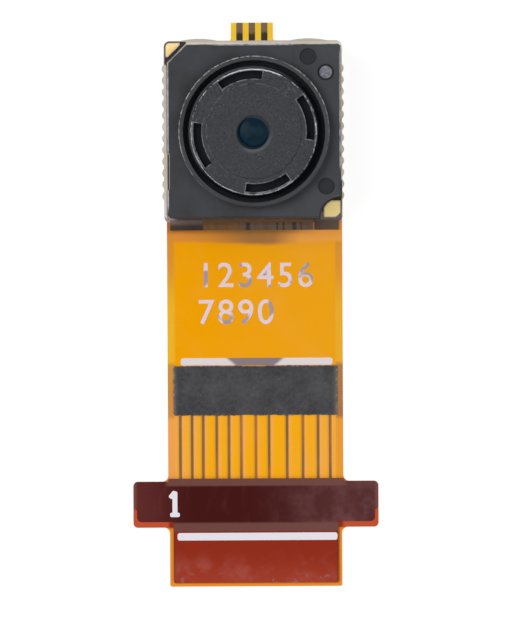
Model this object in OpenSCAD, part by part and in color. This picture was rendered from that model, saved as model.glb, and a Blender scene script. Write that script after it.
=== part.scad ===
// Compact fixed-focus camera module on a rigid-flex circuit with a ZIF plug end.
// +X points right, +Y away from the plug end, +Z forward along the optical axis.
// The origin lies on the optical axis, on the rear face of the rigid board.
// All sizes are in millimetres.

/* [Holder] */
// Width of the square body
holder_w = 8.5; // [8.3:0.05:10]
// Length of the square body
holder_l = 8.5; // [8.3:0.05:10]
// Distance of the body's centre from the optical axis, along its length
holder_shift = 0.05; // [0:0.01:0.15]
// Wall round the cavity over the sensor
holder_wall = 0.7; // [0.5:0.05:0.9]
// Radius of the upright corners
corner_r = 0.2; // [0.1:0.01:0.4]
// Leg of the chamfered corner
chamfer_leg = 0.9; // [0.8:0.05:1.2]
// Radius of the scooped corner
scoop_r = 1.08; // [0.8:0.02:1.15]
// Bevel along the front edges
edge_bevel = 0.07; // [0.03:0.01:0.12]
// Height of the cavity over the sensor
cavity_h = 0.95; // [0.85:0.05:1.3]
// Thickness of the shelf that carries the filter
shelf_t = 0.35; // [0.25:0.05:0.6]
// Radius of the core-outs behind the corners
core_r = 0.38; // [0.25:0.01:0.4]
// Distance of the core-outs from the optical axis
core_reach = 4.05; // [3.95:0.01:4.1]
// Face left in front of each core-out
core_face = 0.7; // [0.5:0.05:1.2]

/* [Holder details] */
// Depth of the shallow recess in the left side
recess_d = 0.12; // [0.05:0.01:0.2]
// Length of the floor of that recess
recess_l = 1.75; // [1.2:0.05:2.4]
// Distance from the optical axis down to the middle of the recess
recess_y = 1.9; // [1.5:0.05:2.2]
// Width of the raised strip across the face
strip_w = 3.9; // [3:0.1:5]
// Height of the raised strip
strip_h = 0.03; // [0.02:0.01:0.06]
// Radius of the round recesses in the face
mark_r = 0.41; // [0.3:0.01:0.45]
// Depth of the round recesses in the face
mark_d = 0.12; // [0.06:0.01:0.15]
// Radius of the gate stub
gate_r = 0.31; // [0.2:0.01:0.33]
// Height of the gate stub over the floor of its recess
gate_h = 0.1; // [0.03:0.01:0.12]
// Distance of the side recesses in from the right edge
mark_inset = 0.72; // [0.6:0.02:0.8]
// Distance from the optical axis up to the gate stub
gate_y = 2.9; // [2.7:0.05:3]
// Distance from the optical axis down to the ejector recess
ejector_y = 2.68; // [2.6:0.05:3]
// Distance from the optical axis right to the upper recess
upper_mark_x = 2.66; // [2.5:0.02:2.8]
// Distance of the upper recess in from the top edge
upper_mark_inset = 0.64; // [0.55:0.01:0.7]

/* [Barrel and collar] */
// Radius of the rim round the barrel's crown
barrel_r = 3.07; // [2.95:0.01:3.15]
// How far the flank of the crown slopes out
skirt_flare = 0.17; // [0.08:0.01:0.25]
// Height of the sloping flank
flank_h = 0.3; // [0.2:0.02:0.4]
// Height of the skirt below the floors of the notches
skirt_h = 0.3; // [0.2:0.05:0.5]
// How far the threaded neck steps in under the crown
neck_step = 0.07; // [0.05:0.01:0.2]
// Clearance round the threaded neck
thread_gap = 0.02; // [0.01:0.005:0.04]
// Gap between the skirt and the collar
groove_gap = 0.24; // [0.15:0.01:0.3]
// Wall of the collar
collar_wall = 0.22; // [0.15:0.01:0.3]
// Height of the collar over the body
collar_h = 0.75; // [0.4:0.05:0.9]
// Bevel on the collar's edges
collar_bevel = 0.05; // [0.02:0.01:0.1]
// How far the crown sits behind the collar's front
crown_recess = 0.12; // [0.05:0.01:0.2]
// Depth of the four notches
notch_d = 0.5; // [0.3:0.02:0.6]
// Angle that each notch spans
notch_span = 45; // [30:1:60]
// Turn of the first notch from +X
notch_turn = 14; // [0:1:45]
// Inner radius of the notches
notch_in_r = 2.58; // [2.5:0.01:2.7]
// Thickness of the rim that closes the notches outwards
notch_rim = 0.09; // [0.06:0.01:0.12]
// Bevel of that rim
rim_bevel = 0.03; // [0.02:0.005:0.05]
// Radius of the sunken face
face_r = 2.35; // [2.1:0.05:2.45]
// Depth of the sunken face
face_d = 0.05; // [0.02:0.01:0.08]
// Thickness of the front wall at the sunken face
front_wall = 0.3; // [0.25:0.01:0.45]
// Radius of the aperture
aperture_r = 0.78; // [0.6:0.01:0.95]
// Bevel round the aperture
aperture_bevel = 0.12; // [0.05:0.01:0.18]
// Gap between the shelf and the rear of the barrel
focus_gap = 0.25; // [0.15:0.01:0.5]
// Height of the locking glue
lock_h = 0.12; // [0.08:0.01:0.14]
// Gap between the ledge in the holder and the skirt
ledge_gap = 0.15; // [0.15:0.01:0.25]

/* [Lens stack] */
// Rim radius of the first lens
first_lens_r = 1.6; // [1.5:0.02:1.7]
// How much each lens further back gains in radius
lens_step = 0.28; // [0.2:0.01:0.32]
// Rim thickness of the first lens
first_rim = 0.36; // [0.3:0.01:0.45]
// Rim thickness of the second lens
second_rim = 0.36; // [0.3:0.01:0.45]
// Rim thickness of the third lens
third_rim = 0.42; // [0.35:0.01:0.5]
// Rim thickness of the fourth lens
fourth_rim = 0.4; // [0.35:0.01:0.5]
// Thickness of the spacers and of the stop
spacer_t = 0.04; // [0.03:0.01:0.06]
// Width of the spacers
spacer_w = 0.4; // [0.3:0.01:0.5]
// Thickness of the retainer ring
retainer_t = 0.2; // [0.15:0.01:0.3]
// Width of the retainer ring
retainer_w = 0.45; // [0.3:0.01:0.55]
// How far the retainer ring sits inside the barrel
retainer_in = 0.03; // [0.01:0.01:0.08]

// Ring between the spacers and the clear part of a lens
lens_ring = 0.1; // [0.05:0.01:0.15]
// Flat beside the clear part of a lens
lens_flat = 0.08; // [0.04:0.01:0.12]
// Curvature radius of the first lens, front
first_front_r = 2.2; // [1.8:0.1:4]
// Curvature radius of the first lens, rear
first_rear_r = 3; // [2.6:0.1:6]
// Curvature radius of the second lens, front
second_front_r = 6; // [5:0.1:9]
// Curvature radius of the second lens, rear
second_rear_r = 7; // [6:0.1:10]
// Curvature radius of the third lens, front
third_front_r = 4; // [4:0.1:6]
// Curvature radius of the third lens, rear
third_rear_r = 4.5; // [4.5:0.1:7]
// Curvature radius of the fourth lens, front
fourth_front_r = 6; // [5:0.1:6.5]
// Curvature radius of the fourth lens, rear
fourth_rear_r = 8; // [7:0.1:12]

/* [Sensor and filter] */
// Width of the sensor
sensor_w = 4.9; // [4.6:0.05:5.1]
// Length of the sensor
sensor_l = 4.3; // [4:0.05:4.5]
// Thickness of the sensor
sensor_t = 0.2; // [0.15:0.01:0.25]
// Border of the sensor round its pixel array
sensor_border = 0.5; // [0.3:0.05:0.7]
// Depth of the pixel array
array_d = 0.01; // [0.005:0.005:0.02]
// Thickness of the glue under the sensor
die_glue_t = 0.02; // [0.01:0.005:0.04]
// Width of the filter
filter_w = 5.6; // [5.2:0.05:6]
// Length of the filter
filter_l = 5; // [4.8:0.05:5.6]
// Thickness of the filter
filter_t = 0.21; // [0.15:0.01:0.25]
// Thickness of the glue over the filter
filter_glue_t = 0.03; // [0.02:0.005:0.05]
// How far the filter overlaps the window in the shelf
filter_lap = 0.5; // [0.3:0.05:0.7]
// Wires along each side of the sensor
wire_count = 14; // [8:1:15]
// Distance from wire to wire
wire_pitch = 0.26; // [0.2:0.01:0.27]
// Thickness of a wire
wire_t = 0.025; // [0.02:0.005:0.04]
// Distance of the wires' first bond in from the sensor's side
wire_inset = 0.12; // [0.08:0.01:0.2]
// Height of the wire loops over the sensor
wire_rise = 0.12; // [0.08:0.01:0.2]
// Distance from the sensor's side to the bond pads
pad_gap = 0.35; // [0.25:0.01:0.45]
// Length of a bond pad
pad_l = 0.2; // [0.15:0.01:0.25]
// Width of a bond pad
pad_w = 0.13; // [0.1:0.01:0.16]
// Length of a capacitor
cap_l = 0.6; // [0.5:0.05:0.7]
// Width and height of a capacitor
cap_w = 0.3; // [0.25:0.01:0.35]
// How far a capacitor's ends stand out from its body
cap_step = 0.01; // [0.005:0.005:0.02]
// Length of the metal end of a capacitor
cap_end = 0.15; // [0.1:0.01:0.2]
// Gap between the sensor and the capacitors
cap_gap = 0.45; // [0.3:0.05:0.5]
// Distance between the capacitors of a pair
cap_gap_x = 2.6; // [1.6:0.1:3.6]

/* [Rigid board] */
// Ledge of the board beside the holder
side_margin = 0.15; // [0.14:0.01:0.25]
// Distance of the board's middle left of the optical axis
board_shift = 0.05; // [0:0.01:0.05]
// Ledge of the board above the holder
top_margin = 0.27; // [0.15:0.01:0.35]
// Ledge of the board below the holder
bottom_margin = 0.2; // [0.15:0.01:0.3]
// Thickness of each rigid board
board_t = 0.2; // [0.15:0.01:0.3]
// Radius of the board's corners
board_corner_r = 0.3; // [0.2:0.01:0.4]
// Distance from scallop to scallop
scallop_pitch = 0.57; // [0.5:0.01:0.7]
// Radius of the scallops
scallop_r = 0.27; // [0.24:0.01:0.28]
// How far the scallops stand out
scallop_out = 0.09; // [0.06:0.01:0.16]
// Length of the scalloped run of each side
scallop_run = 6.9; // [5:0.1:7.4]
// Width of the break-off bumps on the top edge
bump_w = 1.85; // [1.4:0.05:2.2]
// Height of the break-off bumps
bump_h = 0.1; // [0.05:0.01:0.15]
// Distance from the optical axis to the middle of each bump
bump_x = 2.7; // [2.4:0.05:2.9]
// Length of the lips below the holder
lip_l = 0.38; // [0.3:0.01:0.5]
// Width of the left lip
left_lip_w = 1.6; // [1.2:0.05:2]
// Width of the right lip
right_lip_w = 1.2; // [1:0.05:2]
// How far the lips stand in from the board's sides
lip_inset = 0.24; // [0.2:0.01:0.35]
// Height of the brown glue between the lips
edge_glue_h = 0.15; // [0.08:0.01:0.15]
// Length of its flat top
edge_glue_l = 0.13; // [0.05:0.01:0.2]
// Height of its outer edge
edge_glue_foot = 0.03; // [0.02:0.01:0.06]
// Thickness of the solder mask and of the pads in it
mask_t = 0.02; // [0.01:0.005:0.03]
// How far the solder mask reaches out past the holder
mask_lap = 0.03; // [0.02:0.01:0.04]
// Bare rim outside the mask at the corners with pads
mask_rim = 0.04; // [0.03:0.01:0.08]
// Clearance of the mask round a pad
mask_gap = 0.05; // [0.02:0.01:0.08]
// Distance of the corner pads from the board's edge
pad_margin = 0.14; // [0.12:0.01:0.2]
// Leg of the pad in the chamfered corner
corner_pad = 0.66; // [0.5:0.02:0.75]
// How far its sharp corners are cut back
pad_blunt = 0.05; // [0.02:0.01:0.1]
// Size of the pad in the scooped corner
scoop_pad = 0.74; // [0.6:0.02:0.76]
// Radius that rounds it towards the scoop
scoop_pad_r = 0.84; // [0.7:0.02:0.86]
// Radius that cuts it towards the board's corner
scoop_pad_cut = 0.9; // [0.84:0.02:1]
// Thickness of the glue under the holder
holder_glue_t = 0.03; // [0.02:0.005:0.05]
// Width of the glue bead round the holder
bead_w = 0.08; // [0.04:0.01:0.1]
// Height of the glue bead round the holder
bead_h = 0.1; // [0.05:0.01:0.2]

/* [Flexible circuit] */
// Thickness of the rear coverlay and of the contacts
rear_t = 0.03; // [0.02:0.005:0.05]
// Thickness of the base film
film_t = 0.05; // [0.03:0.005:0.08]
// Thickness of the front copper
copper_t = 0.03; // [0.02:0.005:0.04]
// Thickness of the coverlay over the front copper
cover_t = 0.03; // [0.02:0.005:0.05]
// Width of the tail
tail_w = 8.65; // [8.3:0.05:8.8]
// Length of the tail from the board to the ears
tail_l = 12.78; // [11:0.1:20]
// Length over which the tail comes down from the board
ease_l = 4.5; // [3:0.1:6]
// How far the film stays inside the board's edge
head_inset = 0.05; // [0.03:0.01:0.1]
// Width of the top tab
tab_w = 2.07; // [1.8:0.05:2.4]
// How far the top tab stands out
tab_l = 0.89; // [0.6:0.05:1.5]
// Distance of the top tab's centre left of the optical axis
tab_shift = 0.08; // [0:0.01:0.3]
// Flare at the foot of the top tab
tab_flare = 0.12; // [0.05:0.01:0.2]
// Width of a track on the top tab
tab_trace_w = 0.32; // [0.2:0.01:0.4]
// Distance from track to track on the top tab
tab_trace_pitch = 0.61; // [0.5:0.01:0.65]
// Bare film beside the ground copper
pour_inset = 0.33; // [0.2:0.01:0.5]
// Bare film between the board and the ground copper
pour_start = 0.55; // [0.45:0.05:0.8]
// Bare film beside the wide tracks
trace_inset = 0.12; // [0.08:0.01:0.18]
// Gap between the wide tracks
trace_gap = 0.16; // [0.1:0.01:0.2]
// Width of the tape
tape_w = 8.15; // [7:0.05:8.2]
// Length of the tape
tape_l = 2.5; // [2:0.05:3]
// Distance from the ears up to the tape
tape_lift = 3.23; // [3:0.05:4]
// Thickness of the tape
tape_t = 0.06; // [0.04:0.01:0.1]
// Radius of the tape's corners
tape_r = 0.1; // [0.05:0.01:0.2]
// Depth of the dips in the coverlay between the wide tracks
dip_d = 0.01; // [0.005:0.005:0.02]
// Length of the upper printed line
upper_line_l = 7.5; // [6:0.05:7.8]
// Width of the upper printed line
upper_line_w = 0.36; // [0.2:0.01:0.45]
// Distance of the printed lines' middle right of the optical axis
line_shift = 0.07; // [0:0.01:0.1]
// Radius of the printed lines' corners
line_r = 0.12; // [0.05:0.01:0.14]
// Thickness of the printing ink
ink_t = 0.01; // [0.005:0.005:0.02]

/* [Plug end] */
// Number of contacts
contact_count = 16; // [12:1:16]
// Distance from contact to contact
contact_pitch = 0.5; // [0.5:0.01:0.52]
// Width of a contact
contact_w = 0.3; // [0.2:0.01:0.36]
// Length of a contact
contact_l = 2.6; // [1.5:0.05:2.8]
// Bare film between the contacts and the end
contact_inset = 0.1; // [0.05:0.01:0.2]
// Length of the plug below the ears
plug_l = 2.92; // [2.9:0.02:4]
// Width across the ears
ear_w = 12.1; // [11:0.1:14]
// Length of the ears
ear_l = 2.27; // [2:0.01:3]
// Radius of the ears' corners
ear_r = 0.22; // [0.1:0.01:0.3]
// Radius of the inner corners at the ears
inner_r = 0.3; // [0.2:0.01:0.4]
// Radius of the corners at the end of the plug
plug_r = 0.1; // [0.05:0.01:0.2]
// Thickness of the stiffener
stiffener_t = 0.16; // [0.1:0.01:0.25]
// Bare film round the stiffener on the plug
stiffener_inset = 0.18; // [0.1:0.01:0.25]
// How far the stiffener and its film reach up on the tail
shoulder_l = 0.14; // [0.08:0.01:0.2]
// Thickness of the film over the ears
ear_film_t = 0.03; // [0.02:0.005:0.06]
// How far the film over the ears stays in from their ends
ear_film_edge = 0.02; // [0.01:0.01:0.05]
// How far its lower part stays in
ear_film_inset = 0.18; // [0.1:0.01:0.25]
// Length of its wide part
ear_film_wide = 1.42; // [1:0.02:1.7]
// How far it stays up from the bottom of the ears
ear_film_lift = 0.28; // [0.2:0.01:0.4]
// How far the wide tracks run under the stiffener
track_lap = 0.26; // [0.15:0.01:0.4]
// How far it reaches down on the plug
ear_film_foot = 0.2; // [0.1:0.01:0.3]
// Length of the lower printed line
lower_line_l = 7.9; // [6:0.05:8]
// Width of the lower printed line
lower_line_w = 0.37; // [0.3:0.01:0.5]
// Gap between the film and the lower printed line
lower_line_gap = 0.07; // [0.04:0.01:0.15]

/* [Hidden] */
$fn = 96;
eps = 0.01;
big = 60;

// Heights of the flexible circuit over its own rear face
film_z = rear_t;
copper_z = film_z + film_t;
cover_z = copper_z + copper_t;
flex_t = cover_z + cover_t;

// Heights of the head
flex_z = board_t;
front_z = flex_z + flex_t;
board_top_z = front_z + board_t;
mask_z = board_top_z + mask_t;
holder_z = mask_z + holder_glue_t;
shelf_z = holder_z + cavity_h;
bore_z = shelf_z + shelf_t;
barrel_z = bore_z + focus_gap;
retainer_z = barrel_z + retainer_in;
fourth_z = retainer_z + retainer_t;
rear_spacer_z = fourth_z + fourth_rim;
third_z = rear_spacer_z + spacer_t;
front_spacer_z = third_z + third_rim;
second_z = front_spacer_z + spacer_t;
stop_z = second_z + second_rim;
first_z = stop_z + spacer_t;
seat_z = first_z + first_rim;
face_z = seat_z + front_wall;
crown_z = face_z + face_d;
notch_z = crown_z - notch_d;
skirt_z = notch_z - skirt_h;
ledge_z = skirt_z - ledge_gap;
collar_z = crown_z + crown_recess;
body_z = collar_z - collar_h;

// Radii of the barrel and of what it screws into
neck_r = barrel_r - neck_step;
thread_r = neck_r + thread_gap;
collar_in_r = barrel_r + skirt_flare + groove_gap;
collar_out_r = collar_in_r + collar_wall;
second_lens_r = first_lens_r + lens_step;
third_lens_r = second_lens_r + lens_step;
fourth_lens_r = third_lens_r + lens_step;

// Edges of the head and of the tail along Y
holder_top = holder_shift + holder_l / 2;
holder_bottom = holder_shift - holder_l / 2;
board_w = holder_w + 2 * side_margin;
board_top = holder_top + top_margin;
board_bottom = holder_bottom - bottom_margin;
lip_bottom = board_bottom - lip_l;
ease_top = lip_bottom - head_inset;
ear_top = board_bottom - tail_l;
ear_bottom = ear_top - ear_l;
plug_bottom = ear_bottom - plug_l;
plug_w = (contact_count + 1) * contact_pitch;
tape_bottom = ear_top + tape_lift;
tape_top = tape_bottom + tape_l;
film_foot = ear_bottom - ear_film_foot;

// Middles of the gaps between the wide tracks, from the left
trace_gaps = [-3.7, -3.12, -2.57, -1.9, -1.3, -0.69, 0.03, 0.68, 1.57, 2.35, 3.1, 3.7];

// Smooth fall of the tail from the board to the surface it lies on
function ease(t) = t * t * (3 - 2 * t);
function drop(y) = flex_z * (1 - ease(min(1, max(0, (ease_top - y) / ease_l))));

// Height of a lens surface of curvature radius r at the distance x from the axis
function sag(r, x) = r - sqrt(r * r - x * x);

module rounded_rect(w, l, r) {
    square([w - 2 * r, l], center = true);
    square([w, l - 2 * r], center = true);
    for (x = [-1, 1], y = [-1, 1])
        translate([x * (w / 2 - r), y * (l / 2 - r)])
            circle(r);
}

// Rectangle between two heights on the page
module band(w, y0, y1) {
    translate([-w / 2, y0])
        square([w, y1 - y0]);
}

// Slab that follows the tail, between two heights over its rear face
module slab(z0, z1) {
    steps = 14;
    curve = [for (i = [0 : steps]) ease_top - ease_l * i / steps];
    ys = concat([big], curve, [-big]);
    top = [for (y = ys) [y, drop(y) + z1]];
    low = [for (i = [len(ys) - 1 : -1 : 0]) [ys[i], drop(ys[i]) + z0]];
    rotate([90, 0, 90])
        linear_extrude(height = 2 * ear_w, center = true)
            polygon(concat(top, low));
}

// Flat outline laid on the tail, between two heights over its rear face
module laid(z0, z1) {
    intersection() {
        translate([0, 0, -eps])
            linear_extrude(height = flex_z + z1 + 2 * eps)
                children();
        slab(z0, z1);
    }
}

// Plain outline of the board, d inside its edge
module inset_board(d) {
    translate([-board_shift, (board_top + board_bottom) / 2])
        rounded_rect(board_w - 2 * d, board_top - board_bottom - 2 * d, max(board_corner_r - d, eps));
}

module board_outline() {
    span = floor(scallop_run / scallop_pitch) - 1;
    scallop_x = board_w / 2 + scallop_out - scallop_r;
    bump_arc = (bump_w * bump_w / 4 + bump_h * bump_h) / (2 * bump_h);
    inset_board(0);
    for (side = [-1, 1], i = [0 : span])
        translate([side * scallop_x - board_shift, (i - span / 2) * scallop_pitch + holder_shift])
            circle(scallop_r);
    for (side = [-1, 1])
        translate([side * bump_x, board_top + bump_h - bump_arc])
            intersection() {
                circle(bump_arc, $fn = 180);
                band(bump_w, 0, bump_arc);
            }
}

module lips(grow) {
    left = lip_inset - board_w / 2;
    translate([left - grow, lip_bottom - grow])
        square([left_lip_w + 2 * grow, lip_l + bottom_margin]);
    translate([-left - right_lip_w - grow, lip_bottom - grow])
        square([right_lip_w + 2 * grow, lip_l + bottom_margin]);
}

// Outline of the holder, grown by g all round
module holder_outline(g) {
    leg = chamfer_leg + g * (2 - sqrt(2));
    x = -holder_w / 2 - g;
    y = holder_top + g;
    floor_x = recess_d - holder_w / 2 - g;
    half = recess_l / 2 - g * tan(22.5);
    reach = recess_d + eps;
    difference() {
        translate([0, holder_shift])
            rounded_rect(holder_w + 2 * g, holder_l + 2 * g, corner_r + g);
        polygon([[x - eps, y + eps], [x + leg, y + eps], [x + leg, y], [x, y - leg], [x - eps, y - leg]]);
        translate([holder_w / 2, holder_bottom])
            circle(scoop_r - g);
        translate([floor_x, -recess_y])
            polygon([[-reach, half + reach], [0, half], [0, -half], [-reach, -half - reach]]);
    }
}

// Outline of the flexible circuit: head, top tab, tail, ears and plug
module flex_outline() {
    flare_x = tab_w / 2 + tab_flare;
    inset_board(head_inset);
    translate([-tab_shift, 0]) {
        band(tab_w, 0, board_top + tab_l);
        polygon([[-flare_x, board_top - 2 * head_inset], [flare_x, board_top - 2 * head_inset],
            [tab_w / 2, board_top + tab_flare], [-tab_w / 2, board_top + tab_flare]]);
    }
    band(tail_w, ear_bottom + ear_r, 0);
    translate([0, (ear_top + ear_bottom) / 2])
        rounded_rect(ear_w, ear_l, ear_r);
    plug_outline(0);
    inner_corners(tail_w, ear_top, 1);
    inner_corners(plug_w, ear_bottom, -1);
}

// Fillets where the ears meet the tail and the plug
module inner_corners(w, y, way) {
    for (side = [-1, 1])
        difference() {
            translate([side * w / 2 - (side < 0 ? inner_r : eps), way > 0 ? y - eps : y - inner_r])
                square([inner_r + eps, inner_r + eps]);
            translate([side * (w / 2 + inner_r), y + way * inner_r])
                circle(inner_r);
        }
}

module plug_outline(inset) {
    middle = (ear_bottom + plug_bottom) / 2;
    translate([0, middle + inset / 2 + ear_r / 2])
        rounded_rect(plug_w - 2 * inset, plug_l - inset + ear_r, plug_r);
}

module wide_tracks() {
    side = tail_w / 2 - trace_inset + trace_gap / 2;
    edges = concat([-side], trace_gaps, [side]);
    low = ear_top + shoulder_l - track_lap;
    for (i = [0 : len(edges) - 2])
        translate([edges[i] + trace_gap / 2, low])
            square([edges[i + 1] - edges[i] - trace_gap, tape_bottom + tape_l / 2 - low - trace_gap]);
}

module pour_outline() {
    band(tail_w - 2 * pour_inset, tape_bottom + tape_l / 2, lip_bottom - pour_start);
}

module tab_tracks() {
    for (i = [-1 : 1])
        translate([i * tab_trace_pitch - tab_shift - tab_trace_w / 2, board_top - 1])
            square([tab_trace_w, tab_l + 1]);
}

module contact_row() {
    first = -(contact_count - 1) / 2;
    for (i = [0 : contact_count - 1])
        translate([(first + i) * contact_pitch - contact_w / 2, plug_bottom + contact_inset])
            square([contact_w, contact_l]);
}

// Triangular pad of the chamfered corner with blunt ends, grown by g
module upper_pad(g) {
    reach = corner_pad - pad_blunt + g;
    slope = corner_pad + g * sqrt(2);
    intersection() {
        inset_board(pad_margin - g);
        translate([pad_margin - board_w / 2 - board_shift, board_top - pad_margin])
            polygon([[-big, big], [reach, big], [reach, reach - slope],
                [slope - reach, -reach], [-big, -reach]]);
    }
}

// Pad of the scooped corner, grown by g: a square rounded towards the scoop and towards the corner
module lower_pad(g) {
    translate([board_w / 2 - board_shift - pad_margin, holder_bottom + pad_margin / 2])
        intersection() {
            translate([-scoop_pad - g, -g])
                square(scoop_pad + 2 * g);
            circle(scoop_pad_r + g);
            translate([-scoop_pad, scoop_pad])
                circle(scoop_pad_cut + g);
        }
}

// Outline of the solder mask: under the holder, round the corner pads and out to the lips' edges
module mask_outline() {
    left = lip_inset - board_w / 2;
    translate([0, holder_shift])
        square([holder_w + 2 * mask_lap, holder_l + 2 * mask_lap], center = true);
    intersection() {
        inset_board(mask_rim);
        union() {
            translate([-holder_w / 2, holder_top])
                square(2 * chamfer_leg, center = true);
            translate([holder_w / 2, holder_bottom])
                square(2 * scoop_r, center = true);
        }
    }
    translate([left, board_bottom])
        square([-2 * left, bottom_margin]);
    lips(0);
}

module rear_board() {
    color("#b9a26a")
        linear_extrude(height = board_t)
            board_outline();
}

module rear_coverlay() {
    color("#c98a1e")
        laid(0, rear_t)
            difference() {
                flex_outline();
                band(ear_w, plug_bottom - eps, plug_bottom + contact_inset + contact_l);
            }
}

module contact_fingers() {
    color("#e3b54a")
        laid(0, rear_t)
            contact_row();
}

module base_film() {
    color("#e39b17")
        laid(film_z, copper_z)
            flex_outline();
}

module ground_pour() {
    color("#d98a16")
        laid(copper_z, cover_z)
            pour_outline();
}

module covered_traces() {
    color("#e8a01c")
        laid(copper_z, cover_z)
            wide_tracks();
}

module tab_traces() {
    color("#4a3a26")
        laid(copper_z, flex_t)
            tab_tracks();
}

module front_coverlay() {
    dip_top = ear_top + shoulder_l;
    color("#f0a51e")
        difference() {
            laid(copper_z, flex_t)
                difference() {
                    flex_outline();
                    tab_tracks();
                }
            laid(copper_z - eps, cover_z)
                union() {
                    pour_outline();
                    wide_tracks();
                }
            for (x = trace_gaps)
                translate([x - trace_gap / 2, dip_top, flex_t - dip_d])
                    cube([trace_gap, tape_bottom - dip_top, 2 * dip_d]);
        }
}

module front_board() {
    color("#c9b89a")
        translate([0, 0, front_z])
            linear_extrude(height = board_t) {
                board_outline();
                lips(0);
            }
}

// Mask with openings at the corner pads and over the bond pads
module solder_mask() {
    color("#2b2a2b")
        translate([0, 0, board_top_z])
            linear_extrude(height = mask_t)
                difference() {
                    mask_outline();
                    upper_pad(mask_gap);
                    lower_pad(mask_gap);
                    for (side = [-1, 1])
                        translate([side * pad_x, 0])
                            square([pad_l + 2 * mask_gap, wire_count * wire_pitch], center = true);
                }
}

module corner_pads() {
    color("#f0ce7c")
        translate([0, 0, board_top_z])
            linear_extrude(height = mask_t) {
                upper_pad(0);
                lower_pad(0);
            }
}

// Bead between the lips that eases the tail's bend at the board's edge
module edge_glue() {
    left = lip_inset - board_w / 2 + left_lip_w;
    right = board_w / 2 - lip_inset - right_lip_w;
    color("#6d4f2b")
        translate([left, 0, front_z])
            rotate([90, 0, 90])
                linear_extrude(height = right - left)
                    polygon([[board_bottom, 0], [board_bottom, edge_glue_h],
                        [board_bottom - edge_glue_l, edge_glue_h], [lip_bottom, edge_glue_foot],
                        [lip_bottom, 0]]);
}

module zif_stiffener() {
    color("#8c2b18")
        translate([0, 0, flex_t])
            linear_extrude(height = stiffener_t) {
                translate([0, (ear_top + ear_bottom) / 2])
                    rounded_rect(ear_w, ear_l, ear_r);
                band(tail_w, ear_bottom, ear_top + shoulder_l);
                plug_outline(stiffener_inset);
            }
}

module cover_film() {
    low = ear_bottom + ear_film_lift;
    film_l = ear_top - low;
    color("#4a1b1a")
        translate([0, 0, flex_t + stiffener_t])
            linear_extrude(height = ear_film_t) {
                translate([0, low + film_l / 2])
                    rounded_rect(ear_w - 2 * ear_film_inset, film_l, ear_r);
                translate([0, ear_top - ear_film_wide / 2])
                    rounded_rect(ear_w - 2 * ear_film_edge, ear_film_wide, ear_r);
                band(tail_w, low, ear_top + shoulder_l);
                band(plug_w - 2 * stiffener_inset, film_foot, ear_top);
            }
}

module tape_patch() {
    color("#48484a")
        translate([0, tape_bottom + tape_l / 2, flex_t])
            linear_extrude(height = tape_t)
                rounded_rect(tape_w, tape_l, tape_r);
}

module ink_line(l, w, y, z) {
    translate([line_shift, y, z])
        linear_extrude(height = ink_t)
            rounded_rect(l, w, line_r);
}

module ink_lines() {
    upper_y = tape_top + upper_line_w / 2;
    lower_y = film_foot - lower_line_gap - lower_line_w / 2;
    color("#dedbe0") {
        ink_line(upper_line_l, upper_line_w, upper_y, flex_t);
        ink_line(lower_line_l, lower_line_w, lower_y, flex_t + stiffener_t);
    }
}

pad_x = sensor_w / 2 + pad_gap + pad_l / 2;
die_z = mask_z + die_glue_t;

module die_glue() {
    color("#8d8f93")
        translate([0, 0, mask_z])
            linear_extrude(height = die_glue_t)
                square([sensor_w, sensor_l], center = true);
}

module image_sensor() {
    color("#39434d")
        difference() {
            translate([0, 0, die_z])
                linear_extrude(height = sensor_t)
                    square([sensor_w, sensor_l], center = true);
            translate([0, 0, die_z + sensor_t - array_d])
                linear_extrude(height = 2 * array_d)
                    square([sensor_w - 2 * sensor_border, sensor_l - 2 * sensor_border], center = true);
        }
}

module bond_pads() {
    color("#e6bf5a")
        for (side = [-1, 1], i = [0 : wire_count - 1])
            translate([side * pad_x, (i - (wire_count - 1) / 2) * wire_pitch, board_top_z])
                linear_extrude(height = mask_t)
                    square([pad_l, pad_w], center = true);
}

// One wire: up from the sensor, over its edge and down to the bond pad
module bond_wire() {
    start = sensor_w / 2 - wire_inset;
    top = die_z + sensor_t;
    bend_x = pad_x - pad_l;
    bend_z = top + wire_rise - wire_t;
    outer = [[start - wire_t, top], [start - wire_t, top + wire_rise],
        [start + wire_t, top + wire_rise + wire_t], [bend_x + wire_t, bend_z + wire_t],
        [pad_x + wire_t, mask_z]];
    inner = [[pad_x - wire_t, mask_z], [bend_x, bend_z], [start + wire_t, top + wire_rise],
        [start, top + wire_rise - wire_t], [start, top]];
    rotate([90, 0, 0])
        linear_extrude(height = wire_t, center = true)
            polygon(concat(outer, inner));
}

module bond_wires() {
    color("#f1c75a")
        for (side = [0, 1], i = [0 : wire_count - 1])
            translate([0, (i - (wire_count - 1) / 2) * wire_pitch, 0])
                mirror([side, 0, 0])
                    bond_wire();
}

// Places of the capacitors above and below the sensor
module at_capacitors() {
    for (x = [-1, 1], y = [-1, 1])
        translate([x * cap_gap_x / 2, y * (sensor_l / 2 + cap_gap + cap_w / 2), mask_z])
            children();
}

module capacitors() {
    color("#a8906a")
        at_capacitors()
            translate([0, 0, cap_w / 2])
                cube([cap_l - 2 * cap_end, cap_w - 2 * cap_step, cap_w - 2 * cap_step], center = true);
}

module capacitor_ends() {
    color("#c9cacc")
        at_capacitors()
            for (side = [-1, 1])
                translate([side * (cap_l - cap_end) / 2, 0, cap_w / 2])
                    cube([cap_end, cap_w, cap_w], center = true);
}

module holder_glue() {
    color("#b8b3ad")
        translate([0, 0, mask_z]) {
            linear_extrude(height = holder_glue_t)
                difference() {
                    holder_outline(bead_w);
                    cavity_outline();
                }
            linear_extrude(height = bead_h)
                difference() {
                    holder_outline(bead_w);
                    holder_outline(0);
                }
        }
}

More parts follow.
